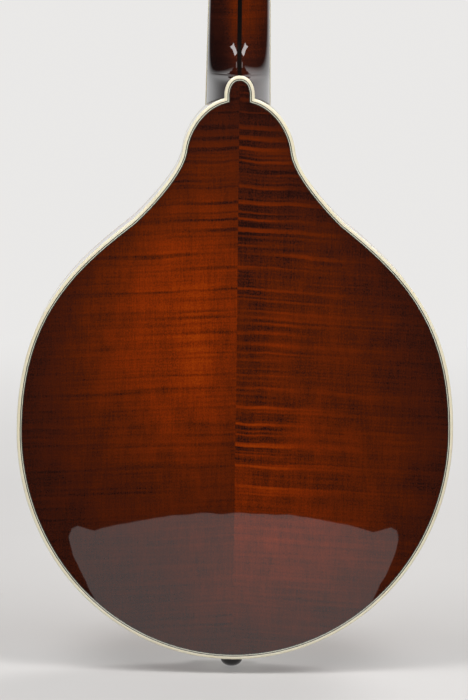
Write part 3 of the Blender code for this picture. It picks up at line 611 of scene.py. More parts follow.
def flamed_maple(name, stripe_mm=3.1):
    """Stained, flamed maple under clear gloss; the mesh gives glow, figure and grain."""
    s = Shader(name, Specular_IOR_Level=0.0, **LACQUER)
    grain = s.attribute("grain", "Vector")
    drift = s.pattern((24.0, 10.0, 20.0), 3.0, over=grain)
    wander = s.add("CombineXYZ", {0: 0.0, 1: s.math("MULTIPLY", drift, 1.7), 2: 0.0})
    stretched = s.scaled(grain, (6.0, 1000.0 / stripe_mm, 11.0))
    flame = s.noise(s.add("VectorMath", {0: stretched, 1: wander}, operation="ADD"), 1.2)
    stripe = {0: flame, 1: 0.45, 2: 0.68, 3: -0.36, 4: 0.64}
    ridge = s.add("MapRange", stripe, interpolation_type="SMOOTHSTEP")
    patch = s.pattern((30.0, 26.0, 30.0), over=grain, shift=(5.0, 2.0, 0.0))
    ridge = s.math("MULTIPLY", ridge, s.spread(patch, 0.36, 0.6, 0.4, 1.2))
    thin = s.pattern((14.0, 620.0, 20.0), 1.5, over=grain, shift=(0.0, 3.0, 0.0))
    fibre = s.pattern((800.0, 60.0, 700.0), 3.0, 0.7, grain)
    flecks = s.pattern((1300.0, 900.0, 900.0), 2.0, 0.8, grain)
    clouds = s.pattern((60.0, 42.0, 50.0), 3.0, over=grain, shift=(1.0, 7.0, 0.0))
    fine = s.total(
        s.spread(fibre, 0.38, 0.62, -0.14, 0.14), s.spread(flecks, 0.36, 0.64, -0.3, 0.3),
        s.spread(clouds, 0.36, 0.64, -0.17, 0.17), s.spread(thin, 0.36, 0.64, -0.13, 0.13),
    )
    level = s.total(s.math("MULTIPLY", ridge, s.attribute("figure")), fine, 1.0)
    s.color(s.math("MULTIPLY", s.attribute("glow"), s.math("MAXIMUM", level, 0.2)), WOOD_RAMP)
    s.roughness(fibre, 0.2, 0.8, 0.36, 0.5)
    s.lacquer_waves(0.55)
    return s.material


def spruce(name):
    """Fine straight-grained top, darker towards the edge."""
    s = Shader(name, Specular_IOR_Level=0.3, **LACQUER)
    grain = s.attribute("grain", "Vector")
    lines = s.pattern((900.0, 7.0, 8.0), 2.0, 0.45, grain)
    silk = s.pattern((60.0, 420.0, 60.0), over=grain)
    broad = s.pattern((70.0, 9.0, 8.0), over=grain)
    level = s.total(
        s.spread(lines, 0.3, 0.7, 0.72, 1.2), s.spread(silk, 0.3, 0.7, -0.07, 0.07),
        s.spread(broad, 0.3, 0.7, -0.1, 0.1),
    )
    s.color(s.math("MULTIPLY", s.attribute("glow"), level), (
        (0.0, (0.012, 0.004, 0.003)), (0.15, (0.07, 0.012, 0.003)), (0.38, (0.30, 0.058, 0.007)),
        (0.65, (0.60, 0.22, 0.035)), (1.0, (0.83, 0.47, 0.13)),
    ))
    s.lacquer_waves(0.5)
    return s.material


def plain_wood(name, dark, light):
    s = Shader(name, Specular_IOR_Level=0.3)
    lines = s.pattern((420.0, 420.0, 22.0), 3.0, 0.6)
    pores = s.pattern((1500.0, 1500.0, 140.0))
    tone = s.total(s.math("MULTIPLY", lines, 0.7), s.math("MULTIPLY", pores, 0.3))
    s.color(tone, ((0.3, dark), (0.72, light)))
    s.roughness(pores, 0.3, 0.7, 0.68, 0.52)
    s.bump(pores, 0.00005, 0.5)
    return s.material


def ebony(name, gloss=False):
    """Near-black wood, oiled or under gloss."""
    weight, roughness, specular, dim = (1.0, 0.03, 0.0, 0.45) if gloss else (0.15, 0.25, 0.35, 1.0)
    s = Shader(name, Coat_Weight=weight, Coat_Roughness=roughness, Specular_IOR_Level=specular)
    streaks = s.pattern((260.0, 260.0, 9.0), 3.0, 0.6)
    pores = s.pattern((2200.0, 2200.0, 160.0), 2.0, 0.7)
    tones = ((0.2, (0.006, 0.005, 0.005)), (0.55, (0.017, 0.012, 0.010)), (0.8, (0.045, 0.027, 0.018)))
    tone = s.math("MULTIPLY", streaks, s.spread(pores, 0.35, 0.6, 0.6, 1.05))
    s.color(tone, [(at, tuple(dim * c for c in color)) for at, color in tones])
    s.roughness(pores, 0.3, 0.7, 0.52, 0.34)
    s.bump(pores, 0.00004, 0.35)
    return s.material


def celluloid(name, light, dark):
    """Cream binding: faint lengthwise grain, warmer in random patches, clear coat over it."""
    s = Shader(name, Coat_Weight=1.0, Coat_Roughness=0.04, Roughness=0.4, Subsurface_Weight=0.08,
               Subsurface_Radius=(0.0015, 0.001, 0.0006), Subsurface_Scale=1.0)
    lines = s.pattern((1300.0, 2600.0, 300.0))
    stain = s.pattern((26.0, 26.0, 26.0), 3.0)
    tone = s.total(s.math("MULTIPLY", lines, 0.35), s.math("MULTIPLY", stain, 0.65))
    s.color(tone, ((0.3, dark), (0.65, light)))
    s.roughness(stain, 0.3, 0.7, 0.46, 0.34)
    return s.material


def pearl(name):
    s = Shader(name, Coat_Weight=1.0, Coat_Roughness=0.05, Roughness=0.3, Sheen_Weight=0.15)
    swirl = s.pattern((210.0, 210.0, 210.0), 3.0, distortion=2.2)
    cells = s.add("TexVoronoi", {"Vector": s.scaled(s.place(), (1.0, 1.0, 1.0)), "Scale": 420.0})
    s.color(s.total(s.math("MULTIPLY", swirl, 0.75), s.math("MULTIPLY", cells, 0.3)), (
        (0.28, (0.42, 0.40, 0.34)), (0.48, (0.74, 0.71, 0.60)),
        (0.62, (0.60, 0.64, 0.60)), (0.85, (0.86, 0.83, 0.74)),
    ))
    return s.material


def metal(name, color, roughness, brushed=0.0):
    """Plated or drawn metal with fine scratches and a little tarnish."""
    s = Shader(name, Metallic=1.0, Roughness=roughness)
    scratch = s.pattern((2600.0, 500.0, 500.0), 3.0, 0.7)
    film = s.pattern((120.0, 120.0, 120.0), 4.0, 0.6)
    dull = tuple(c * f for c, f in zip(color, (0.72, 0.62, 0.48)))
    tarnish = s.spread(film, 0.48, 0.75, 0.0, 0.25)
    tone = s.add("Mix", {"Factor": tarnish, 6: (*color, 1.0), 7: (*dull, 1.0)}, output=2, data_type="RGBA")
    s.link(tone, s.surface.inputs["Base Color"])
    s.roughness(film, 0.3, 0.7, roughness * 0.8, roughness * 1.5)
    s.bump(scratch, 0.00001 + 0.00004 * brushed, 0.4)
    return s.material


def wound_string(name, color):
    s = Shader(name, Metallic=1.0, Roughness=0.35)
    inputs = {"Vector": s.attribute("grain", "Vector"), "Scale": 620.0, "Distortion": 0.0}
    turns = s.add("TexWave", inputs, output=1, bands_direction="Y", wave_profile="SIN")
    # Painted shade: the colour darkens in the grooves between the turns, together with the bump.
    s.color(turns, ((0.0, tuple(c * 0.35 for c in color)), (0.7, color)))
    s.bump(turns, 0.00008, 0.8)
    return s.material


def bone(name):
    s = Shader(name, Roughness=0.35, Subsurface_Weight=0.1, Coat_Weight=0.3, Coat_Roughness=0.15,
               Subsurface_Radius=(0.002, 0.0014, 0.001), Subsurface_Scale=1.0)
    pores = s.pattern((300.0, 2200.0, 2200.0), 3.0)
    s.color(pores, ((0.3, (0.62, 0.54, 0.38)), (0.6, (0.80, 0.74, 0.60))))
    s.bump(pores, 0.00002, 0.4)
    return s.material


def black_plastic(name):
    s = Shader(name, Roughness=0.4, Coat_Weight=1.0, Coat_Roughness=0.04)
    s.color(s.pattern((900.0, 900.0, 900.0)), ((0.3, (0.008, 0.008, 0.008)), (0.7, (0.02, 0.018, 0.016))))
    return s.material


MAPLE = flamed_maple("maple_back")
RIB_MAPLE = flamed_maple("maple_sides", 3.6)
NECK_MAPLE = flamed_maple("maple_neck", 3.4)
SPRUCE = spruce("spruce_top")
INNER_SPRUCE = plain_wood("spruce_inside", (0.42, 0.27, 0.12), (0.66, 0.47, 0.25))
WILLOW = plain_wood("lining_wood", (0.44, 0.29, 0.15), (0.62, 0.45, 0.26))
EBONY = ebony("ebony")
EBONY_GLOSS = ebony("ebony_gloss", True)
CREAM = celluloid("cream_binding", (0.86, 0.80, 0.61), (0.78, 0.70, 0.50))
WHITE_LINE = celluloid("white_line", (0.66, 0.66, 0.54), (0.54, 0.53, 0.42))
BLACK_LINE = black_plastic("black_line")
PEARL = pearl("pearl")
NICKEL = metal("nickel", (0.72, 0.69, 0.63), 0.16)
STEEL = metal("steel", (0.58, 0.57, 0.55), 0.3, 1.0)
BRASS = metal("brass", (0.78, 0.56, 0.22), 0.24, 0.6)
BRONZE = wound_string("bronze_winding", (0.72, 0.45, 0.20))
PLAIN_STRING = metal("plain_string", (0.70, 0.70, 0.70), 0.18)
BONE = bone("bone")


# ---------------------------------------------------------------- wood tone over each piece
def bell(value, centre, low_width, high_width=None):
    width = np.where(value < centre, low_width, high_width or low_width)
    return np.exp(-(((value - centre) / width) ** 2))


def back_stain_and_painted_light(mesh):
    """Tone and flame of the two bookmatched halves: a darker rim of sunburst stain, and painted light in the
    brighter patches and the halves' different flame, which stand in for how each half catches the light.
    """
    co = positions(mesh)
    corner = read(mesh.loops, "vertex_index", np.int32)
    centres = read(mesh.polygons, "center", width=3).reshape(-1, 3)
    side = np.repeat(np.where(centres[:, 0] >= 0, 1.0, -1.0), read(mesh.polygons, "loop_total", np.int32))
    x, z = co[corner, 0], co[corner, 2] - TAIL_Z
    edge = edge_distance(x, z + TAIL_Z)
    # Painted light, partly sunburst stain: brighter patches of different shape and strength on the two halves
    # paint how each half catches the light.
    treble = 0.036 + 0.134 * bell(x, -26, 54, 40) * bell(z, 190, 80, 80)
    treble += 0.035 * bell(x, 0, 30) * bell(z, 50, 35)
    bass = 0.040 + 0.085 * bell(x, 14, 60, 70) * bell(z, 85, 50, 70)
    bass += 0.01 * bell(x, 8, 30) * bell(z, 290, 50)
    bass += 0.04 * bell(x, 30, 70, 50) * bell(z, 200, 120, 70)
    glow = np.where(side < 0, treble, bass)
    # Sunburst stain: darker towards the edge.
    rim = np.clip((edge - 2) / 34, 0, 1)
    glow *= 0.72 + 0.28 * rim * (2 - rim)
    near_seam = bell(x, 0, 62, 48)
    # Painted light: the flame is inverted and fainter on the treble half, painting how the two halves catch the
    # light differently.
    figure = np.where(
        side < 0, -0.3 - 0.5 * near_seam * bell(z, 270, 62),
        0.25 + near_seam * (1.5 * bell(z, 270, 75) + 1.0 * bell(z, 132, 36)),
    )
    store(mesh, "glow", glow * GLOW_GAIN, "CORNER")
    store(mesh, "figure", figure, "CORNER")
    store_grain(mesh, np.abs(x), z + FLAME_SLOPE * np.abs(x), 0 * x, "CORNER")


# ---------------------------------------------------------------- body pieces
def plate(path, facing, height):
    """A whole arched plate, its centreline on mesh edges."""
    loop = closed_loop(path)
    centre = np.array((0.0, TAIL_Z + ARCH_CENTRE_Z))
    rings = np.linspace(0.0, 1.0, RING_COUNT + 1)[1:]
    flat = np.concatenate([[centre]] + [centre + (loop - centre) * r for r in rings])
    rays = len(loop)
    x, z = flat.T
    outer = np.stack((x, facing * (EDGE_PLANE + arch(x, z, height)), z), axis=1)
    inner = np.stack((x, facing * (GLUE_PLANE + arch(x, z, height - 0.1, True)), z), axis=1)
    count = len(flat)
    surface = [(0, 1 + j, 1 + (j + 1) % rays) for j in range(rays)]
    for ring in range(RING_COUNT - 1):
        low = 1 + ring * rays
        for j in range(rays):
            k = (j + 1) % rays
            surface.append((low + j, low + rays + j, low + rays + k, low + k))
    faces = surface + [tuple(i + count for i in face) for face in surface]
    last = count - rays
    for j in range(rays):
        k = (j + 1) % rays
        faces.append((last + j, last + k, last + k + count, last + j + count))
    return np.concatenate((outer, inner)).tolist(), faces


def edge_ring(path, facing, profile):
    """Sweeps an (inset, height) outline round the closed body edge."""
    loops = [closed_loop(inset(path, d)) for d, _ in profile]
    return loft([
        [(loop[k][0], facing * y, loop[k][1]) for loop, (_, y) in zip(loops, profile)]
        for k in range(len(loops[0]))
    ], ring=True)


def add_edge(name, path, facing):
    """A binding strip, and the black, white and black lines beside it."""
    top, low, slot = EDGE_PLANE, GLUE_PLANE - 0.2, "cream_binding"
    profile = (
        (0.0, low), (0.0, top - 1.1), (0.12, top - 0.62), (0.42, top - 0.22),
        (0.9, top - 0.04), (1.5, top), (BINDING_WIDTH, top), (BINDING_WIDTH, low),
    )
    strip = edge_ring(path, facing, profile)
    add_piece(name + "_binding_strip", strip, [CREAM], slot, [name + "_binding"], 50.0)
    edges = [BINDING_WIDTH + PURFLING_WIDTH * k for k in range(4)]
    profile = [(edges[0], top - 1.0)] + [(d, top) for d in edges] + [(edges[-1], top - 1.0)]
    strip = edge_ring(path, facing, profile)
    lines = add_piece(name + "_purfling", strip, [BLACK_LINE, WHITE_LINE], slot, sharp=50.0)
    for index, face in enumerate(lines.data.polygons):
        face.material_index = 1 if index % len(profile) == 2 else 0


def sound_hole_cutters(side):
    """An S-shaped hole: its stem, its round ends and the nicks at its middle."""
    top, bottom = np.array(HOLE_TOP[:2]), np.array(HOLE_BOTTOM[:2])
    axis = (bottom - top) / np.linalg.norm(bottom - top)
    across = np.array((-axis[1], axis[0]))

    def through(outline):
        return prism_y([(side * x, TAIL_Z + z) for x, z in outline], *HOLE_CUT)

    left, right = [], []
    for t in np.linspace(0.0, 1.0, 33):
        swing = HOLE_SWING * math.sin(2 * math.pi * t) * -0.5
        half = HOLE_STEM_HALF * (0.45 + 0.55 * math.sin(math.pi * t))
        middle = top + (bottom - top) * t + across * swing
        left.append(tuple(middle + across * half))
        right.append(tuple(middle - across * half))
    shapes = [through(left + right[::-1])]
    for x, z, radius in (HOLE_TOP, HOLE_BOTTOM):
        shapes.append(bore(radius, *HOLE_CUT, 40, along_y(side * x, TAIL_Z + z)))
    middle = top + (bottom - top) * 0.5
    for sign in (-1, 1):
        tip = middle + across * sign * (HOLE_STEM_HALF + 1.8)
        foot = middle + across * sign * (HOLE_STEM_HALF - 1.0)
        shapes.append(through([tip, foot + axis * 1.3, foot - axis * 1.3]))
    return shapes


def rib(path, side):
    outside, inside = inset(path, 0.1), inset(path, RIB_THICKNESS)
    rows = (-RIB_HALF_HEIGHT, -6.0, 6.0, RIB_HALF_HEIGHT)
    outside[0, 0] = inside[0, 0] = 0.02
    sections = []
    for (xo, zo), (xi, zi) in zip(outside, inside):
        outer = [(side * xo, y * 1.008, zo) for y in rows]
        sections.append(outer + [(side * xi, y, zi) for y in rows[::-1]])
    return loft(sections)


def rib_tone(path):
    steps = np.linalg.norm(np.diff(path, axis=0), axis=1)
    along = np.concatenate(([0.0], np.cumsum(steps)))

    def write(mesh):
        co = positions(mesh)
        arc = np.repeat(along, len(co) // len(path))
        y, z = co[:, 1], co[:, 2] - TAIL_Z
        middle = 1 - (y / RIB_HALF_HEIGHT) ** 2
        glow = (0.10 + 0.16 * middle) * (0.75 + 0.35 * bell(z, 190, 130))
        store(mesh, "glow", glow)
        store(mesh, "figure", np.full(len(co), 0.42))
        store_grain(mesh, y, arc, 0 * y)

    return write


def top_tone(mesh):
    co = positions(mesh)
    x, z = co[:, 0], co[:, 2]
    edge = edge_distance(x, z)
    burst = smooth_step(np.clip((edge - 3) / 62, 0, 1))
    store(mesh, "glow", 0.06 + 0.80 * burst)
    store(mesh, "figure", np.zeros(len(co)))
    store_grain(mesh, np.abs(x), z, 0 * x)


def pin_profile():
    turns = np.linspace(0.12, math.pi / 2, 14)
    dome = [(6.5 * math.sin(a), 4.9 - 4.9 * math.cos(a)) for a in turns]
    return [(0.5, 0.0)] + dome + [(6.6, 5.4), (6.5, 6.1), (6.2, 6.4), (3.9, 6.4), (3.8, 9.0), (3.5, 24.0)]


def build_body():
    path = half_outline()
    margin = BINDING_WIDTH + 3 * PURFLING_WIDTH + 0.02
    back_edge, top_edge = with_button(path), with_flat_end(path)
    add_piece("back", plate(inset(back_edge, margin), -1, BACK_ARCH), [MAPLE], "flamed_maple",
              ("back_bass_half", "back_treble_half"), 60, tone=back_stain_and_painted_light)
    holes = [shape for _, side in SIDES for shape in sound_hole_cutters(side)]
    add_piece("top", plate(inset(top_edge, margin), 1, TOP_ARCH), [SPRUCE], "spruce",
              ("top_bass_half", "top_treble_half"), 50, cuts=holes, tone=top_tone)
    add_edge("back", back_edge, -1)
    add_edge("top", top_edge, 1)
    for name, side in SIDES:
        add_piece("rib_" + name, rib(path, side), [RIB_MAPLE], "flamed_maple", ("side_" + name,), 50,
                  tone=rib_tone(path))
    pin = turned(pin_profile(), 48, along_z(0.0, 0.0))
    add_piece("end_pin_turned", pin, [EBONY_GLOSS], "ebony", ("end_pin",), 30)


# ---------------------------------------------------------------- neck
def board_top(z):
    return BOARD_Y_AT_JOINT - NECK_SLOPE * (z - JOINT_Z)


def board_under(z):
    return board_top(z) - BOARD_THICKNESS


def board_half(z):
    share = (z - JOINT_Z) / (NUT_Z - JOINT_Z)
    return BOARD_HALF_AT_JOINT + (BOARD_HALF_AT_NUT - BOARD_HALF_AT_JOINT) * share


def head_point(x, v, w):
    """A point on the headstock: v along it from the nut, w out of its front face."""
    angle = math.radians(HEAD_ANGLE)
    y = board_under(HEAD_START_Z) - v * math.sin(angle) + w * math.cos(angle)
    z = HEAD_START_Z + v * math.cos(angle) + w * math.sin(angle)
    return (x, y, z)


def neck_stations():
    """Front z, front y, back z, back y, half width, floor half width, heel and square weights."""
    tip = NECK_CORNER[1]
    heel = (
        (284.8, RISER_HALF, 8.7), (321.4, RISER_HALF, 8.7), (321.9, 0.0, 8.7), (tip, 0.0, 8.7),
        (333.5, 0.0, 8.3), (337.3, 0.0, 7.2), (339.6, 0.0, 4.6), (341.0, 0.0, 1.7),
    )
    rise = (
        (342.0, -14.5, 0.97), (343.5, -9.6, 0.9), (345.8, -4.2, 0.78), (349.0, 0.6, 0.62),
        (353.0, 4.3, 0.45), (358.0, 7.1, 0.27), (364.5, 8.8, 0.1), (372.0, 9.2, 0.0),
    )
    stations = []

    def add(z, back, half, floor, weight):
        half = half or board_half(z) - BOARD_OVERHANG
        stations.append((z, board_under(z), z, back, half, floor, weight, 0.0))

    for height, half, floor in heel:
        add(TAIL_Z + height, HEEL_FLOOR, half, floor, 1.0)
    for height, back, weight in rise:
        add(TAIL_Z + height, back, 0.0, BACK_FLAT, weight)
    for z in (430.0, 490.0, 531.0):
        add(z, 9.2 - (z - 380.0) * 0.0854, 0.0, BACK_FLAT, 0.0)
    depths, thickness = zip(*HEAD_THICKNESS)
    for v, half in HEAD_OUTLINE:
        front = head_point(0.0, v, 0.0)
        back = head_point(0.0, v, -float(np.interp(v, depths, thickness)))
        square = min(v / 20.0, 1.0)
        stations.append((front[2], front[1], back[2], back[1], half, BACK_FLAT, 0.0, square))
    return np.array(stations)


def fine_stations():
    coarse = neck_stations()
    keys = coarse[:, 0]
    change = np.abs(np.diff(coarse, axis=0))
    steepest = np.maximum(change[:, 3], change[:, 4]) / 0.7
    counts = np.clip(np.maximum(change[:, 0] / 1.2, steepest), 2, 12)
    at = np.concatenate([
        np.linspace(a, b, int(n), endpoint=False) for a, b, n in zip(keys, keys[1:], counts)
    ] + [keys[-1:]])
    return np.stack([at] + [smooth_curve(keys, coarse[:, k], at) for k in range(1, 8)], axis=1)


def neck_section(station, side):
    front_z, front_y, back_z, back_y, half, floor, heel, square = station
    inner = STRIP_HALF + 0.01
    reach = half - inner
    k = np.arange(SIDE_POINTS)
    even = k / (SIDE_POINTS - 1)
    angle = math.pi / 2 * k / SIDE_POINTS
    floor_share = max(floor - inner, 0.3) / reach
    heel_width = floor_share + (1 - floor_share) * (1 - even ** 1.6)
    depth = np.sin(angle) ** 0.87 * (1 - heel) + even * heel
    width = np.cos(angle) ** 0.87 * (1 - heel) + heel_width * heel
    depth += (even - depth) * square
    width += (1 - width) * square
    y = front_y + (back_y - front_y) * depth
    z = front_z + (back_z - front_z) * depth
    points = [(side * inner, front_y, front_z)]
    points += [(side * (inner + reach * w), b, c) for w, b, c in zip(width, y, z)]
    points.append((side * inner, back_y, back_z))
    return points


def channel_shape():
    low, high = CHANNEL_SPAN
    profile = [
        (low, board_under(low) - CHANNEL_DEPTH), (low, board_under(low) + 3),
        (high, board_under(high) + 3), (high, board_under(high) - CHANNEL_DEPTH),
    ]
    return prism_x(profile, -CHANNEL_HALF, CHANNEL_HALF)


def body_space():
    path = inset(half_outline(), -JOINT_GAP)
    corner_z = TAIL_Z + NECK_CORNER[1] + JOINT_GAP
    keep = [tuple(p) for p in path if p[1] > TAIL_Z + 262 and p[0] > NECK_CORNER[0] + 0.5]
    right = [(60.0, TAIL_Z + 262)] + keep + [(NECK_CORNER[0], corner_z), (TENON_HALF, corner_z)]
    right.append((TENON_HALF, TAIL_Z + TENON_END))
    outline = right + [(-x, z) for x, z in reversed(right)]
    return prism_y(outline, -40.0, 23.0)


def top_space():
    edge, low = TAIL_Z + NECK_CORNER[1] - 6.0, RIB_HALF_HEIGHT + 0.1
    return prism_x([(edge, low), (edge, 23.5), (290.0, 27.5), (280.0, 28.0), (280.0, low)], -45.0, 45.0)


def post_place(side, v):
    return lambda a, b, h: head_point(side * POST_X + a, v + b, h)


def post_holes(side, radius, low):
    return [bore(radius, low, 10.0, 32, post_place(side, v)) for v in POST_STATIONS]


def neck_tone(mesh):
    """Dark outside edges and heel, warmer beside the centre strip."""
    x, y, z = positions(mesh).T
    off = np.abs(x)
    warm = np.where(x < 0, 0.10 * bell(off, 2.0, 4.5), 0.10 * bell(off, 5.0, 11.0))
    heel = 1 - 0.72 * bell(z, 348, 40, 26)
    front = np.clip((y - board_under(z) + 12) / 12, 0, 1)
    glow = 1.3 * (0.045 + warm * (1 - 0.6 * front)) * heel * (0.8 + 0.35 * bell(z, 450, 60))
    store(mesh, "glow", glow)
    store(mesh, "figure", np.full(len(x), 0.35))
    store_grain(mesh, x + y, z, 0 * x)


def build_neck():
    stations = fine_stations()
    for name, side in SIDES:
        add_piece("neck_" + name, loft([neck_section(s, side) for s in stations]), [NECK_MAPLE],
                  "neck_maple", ("neck_" + name + "_half",), 40, tone=neck_tone,
                  cuts=[body_space(), top_space(), channel_shape()] + post_holes(side, POST_HOLE, -25.0))
    edge = TAIL_Z + NECK_CORNER[1] + JOINT_GAP
    above = stations[stations[:, 2] > edge]
    end = stations[0]
    support = [(edge, HEEL_FLOOR), (edge, 23.0), (end[0], 27.8), (end[0], end[1])]
    profile = support + [(s[0], s[1]) for s in above] + [(s[2], s[3] - 0.03) for s in above[::-1]]
    add_piece("neck_strip", prism_x(profile, -STRIP_HALF, STRIP_HALF), [EBONY_GLOSS], "ebony",
              ("neck_centre_strip",), 40, cuts=[channel_shape()])


def fret_z(number):
    distance = SCALE_LENGTH * (1 - 2 ** (-number / OCTAVE))
    return NUT_Z - distance * math.cos(math.atan(NECK_SLOPE))


def board_point(x, z, up):
    """A point above the fingerboard's face."""
    tilt = math.atan(NECK_SLOPE)
    return (x, board_top(z) + up * math.cos(tilt), z + up * math.sin(tilt))


def board_slab(edges, z_low, z_high):
    """A length of the board between two edges, each given from its half width."""
    sections = []
    for z in np.linspace(z_low, z_high, 12):
        left, right = (edge(board_half(z)) for edge in edges)
        under, top = board_under(z) + SEAM, board_top(z)
        sections.append([(left, under, z), (right, under, z), (right, top, z), (left, top, z)])
    return loft(sections)


def build_board():
    start, end = BOARD_END_Z, NUT_Z - 0.1
    inside = (lambda h: BOARD_BINDING - h, lambda h: h - BOARD_BINDING)
    core = board_slab(inside, start + BOARD_BINDING, end)
    add_piece("fingerboard_ebony", core, [EBONY], "ebony", ("fingerboard",))
    for name, side in SIDES:
        strip = board_slab((lambda h: side * (h - BOARD_BINDING), lambda h: side * h), start, end)
        add_piece("board_binding_" + name, strip, [CREAM], "cream_binding", sharp=50, soften=(0.35, 3))
    tail = board_slab(inside, start, start + BOARD_BINDING)
    add_piece("board_binding_end", tail, [CREAM], "cream_binding", sharp=50, soften=(0.3, 2))
    for number in range(1, FRET_COUNT + 1):
        add_piece("fret_%02d" % number, fret(fret_z(number)), [NICKEL], "nickel", sharp=50)
    for number in DOT_FRETS:
        middle = (fret_z(number) + fret_z(number - 1)) / 2
        radius = 2.3 if number < 15 else 1.9
        ways = (-1, 1) if number == OCTAVE else (0,)
        for k, way in enumerate(ways):
            disc = turned(((radius, -0.6), (radius, 0.03), (radius - 0.15, 0.08)), 32,
                          lambda a, b, h: board_point(6.5 * way + a, middle + b, h))
            add_piece("dot_%02d_%d" % (number, k), disc, [PEARL], "pearl_plastic")
        for k, way in enumerate(ways):
            z = middle + 1.6 * way
            level = board_top(z) - 2.0
            spot = bore(0.75, -0.6, 0.04, 20, lambda a, b, h: (board_half(z) + h, level + a, z + b))
            add_piece("side_dot_%02d_%d" % (number, k), spot, [BLACK_LINE], "pearl_plastic")


def fret(z):
    """A crowned fret with rounded, bevelled ends."""
    half = board_half(z) - 0.15
    ends = ((-half, 0.35), (-half + 0.35, 0.8), (-half + 0.9, 1.0))
    stations = list(ends) + [(-x, share) for x, share in reversed(ends)]
    sections = []
    for x, share in stations:
        ring = [board_point(x, z - FRET_HALF, -0.3)]
        for angle in np.linspace(math.pi, 0.0, 11):
            up = FRET_HEIGHT * share * math.sin(angle)
            ring.append(board_point(x, z + FRET_HALF * math.cos(angle), up))
        ring.append(board_point(x, z + FRET_HALF, -0.3))
        sections.append(ring)
    return loft(sections)


def string_x(course, line, step):
    """Where a string crosses the saddle, the nut or the hooks."""
    return course.side * (getattr(course, line) + step * HALF_COURSE[line])


def string_spots(line):
    return sorted((string_x(course, line, step), STRING_RADII[course.name])
                  for course in COURSES for _, step in PAIR)


def notched(spots, half, rise):
    """Heights of an edge that stands up between the strings, as (x, lift) pairs."""
    pairs = [(-half, 0.0), (-half + 0.6, rise)]
    for x, radius in spots:
        wide = radius + 0.16
        pairs += [(x - wide - 0.1, rise), (x - wide * 0.7, 0.12), (x, 0.0)]
        pairs += [(x + wide * 0.7, 0.12), (x + wide + 0.1, rise)]
    return pairs + [(half - 0.6, rise), (half, 0.0)]


def build_nut():
    low = board_under(NUT_Z) + SEAM
    sections = []
    for x, lift in notched(string_spots("nut"), NUT_HALF, 0.4):
        top = NUT_TOP_Y + lift
        crown = ((0.1, top - 0.3), (0.4, top), (2.4, top), (3.6, top - 0.75), (4.7, top - 1.9))
        sections.append([(x, y, NUT_Z + z) for z, y in ((0.1, low),) + crown + ((4.7, low),)])
    add_piece("nut_bone", loft(sections), [BONE], "bone", ("nut",), 30)


def head_half():
    """Smooth right-hand outline of the headstock as (x, v) points, from the nut to the tip."""
    stations, halves = zip(*HEAD_OUTLINE)
    runs = [np.linspace(a, b, 4, endpoint=False) for a, b in zip(stations, stations[1:])]
    at = np.append(np.concatenate(runs), stations[-1])
    return np.stack((smooth_curve(stations, halves, at), np.maximum(at, 0.6)), axis=1)


def head_loop(distance):
    """The headstock outline moved inwards."""
    path = head_half()
    edge = np.gradient(path, axis=0)
    normal = np.stack((-edge[:, 1], edge[:, 0]), axis=1)
    normal /= np.linalg.norm(normal, axis=1)[:, None]
    moved = path + normal * distance
    moved[0] = (path[0, 0] - distance, path[0, 1])
    right = [tuple(p) for p in moved]
    return right + [(-x, v) for x, v in reversed(right)]


def slab(outline, w_low, w_high):
    return loft([[head_point(x, v, w) for x, v in outline] for w in (w_low, w_high)])


def add_screw(name, place, radius, height):
    """A domed, slotted screw head; place maps (across, across, out)."""
    dome = [(radius * math.cos(a), height * math.sin(a)) for a in np.linspace(0.0, 1.35, 7)]
    slit = oblong(2 * radius, 0.16 * radius)
    groove = loft([[place(a, b, h) for a, b in slit] for h in (height * 0.45, height * 1.5)])
    add_piece(name, turned([(radius * 0.9, -0.3)] + dome, 24, place), [NICKEL], "nickel", cuts=[groove])


def build_head():
    inner, outer, top = head_loop(1.4), head_loop(0.0), OVERLAY_THICKNESS
    holes = [hole for _, side in SIDES for hole in post_holes(side, POST_HOLE, -5.0)]
    add_piece("headstock_face", slab(inner, JOINT_GAP, top), [EBONY_GLOSS], "ebony", ("headstock_overlay",), 40,
              cuts=[channel_shape()] + holes)
    corners = (
        (outer, JOINT_GAP), (outer, top - 0.25), (head_loop(0.25), top), (inner, top), (inner, JOINT_GAP),
    )
    rim = loft([[head_point(*loop[k], w) for loop, w in corners] for k in range(len(outer))])
    add_piece("headstock_binding", rim, [CREAM], "cream_binding", sharp=50)
    add_piece("headstock_inlay", slab(INLAY, 1.2, top + 0.03), [PEARL], "pearl_plastic")
    low = top + SEAM
    halves, stations = zip(*TRUSS_COVER)
    v = np.linspace(stations[0], stations[-1], 40)
    half = smooth_curve(stations, halves, v)
    loop = list(zip(half, v)) + [(-x, b) for x, b in zip(half[::-1], v[::-1])]
    add_piece("truss_cover", slab(loop, low, low + 1.6), [EBONY_GLOSS], "ebony", ("truss_rod_cover",), 40,
              soften=(0.5, 3))
    for k, v in enumerate((4.0, 25.5)):
        add_screw("truss_cover_screw_%d" % k, lambda a, b, h: head_point(a, v + b, low + 1.5 + h), 1.1, 0.6)
    for name, side in SIDES:
        build_tuners(name, side)


def rounded_outline(x_low, x_high, v_low, v_high, radius):
    points = []
    for cx, cv, start in (
        (x_high - radius, v_high - radius, 0.0), (x_low + radius, v_high - radius, 90.0),
        (x_low + radius, v_low + radius, 180.0), (x_high - radius, v_low + radius, 270.0),
    ):
        for t in np.linspace(0.0, 90.0, 7):
            a = math.radians(start + t)
            points.append((cx + radius * math.cos(a), cv + radius * math.sin(a)))
    return points


def lug_shape(side, x_low, x_high, v):
    """An upright ear around the worm shaft, round at its free end."""
    half, root = 2.9, PLATE_W[0] + 0.2
    loop = [(v - half, root), (v - half, WORM_AXIS_W)]
    for a in np.linspace(math.pi, 2 * math.pi, 13)[1:-1]:
        loop.append((v + half * math.cos(a), WORM_AXIS_W + 2.7 * math.sin(a)))
    loop += [(v + half, WORM_AXIS_W), (v + half, root)]
    return loft([[head_point(side * x, b, w) for b, w in loop] for x in (x_low, x_high)])


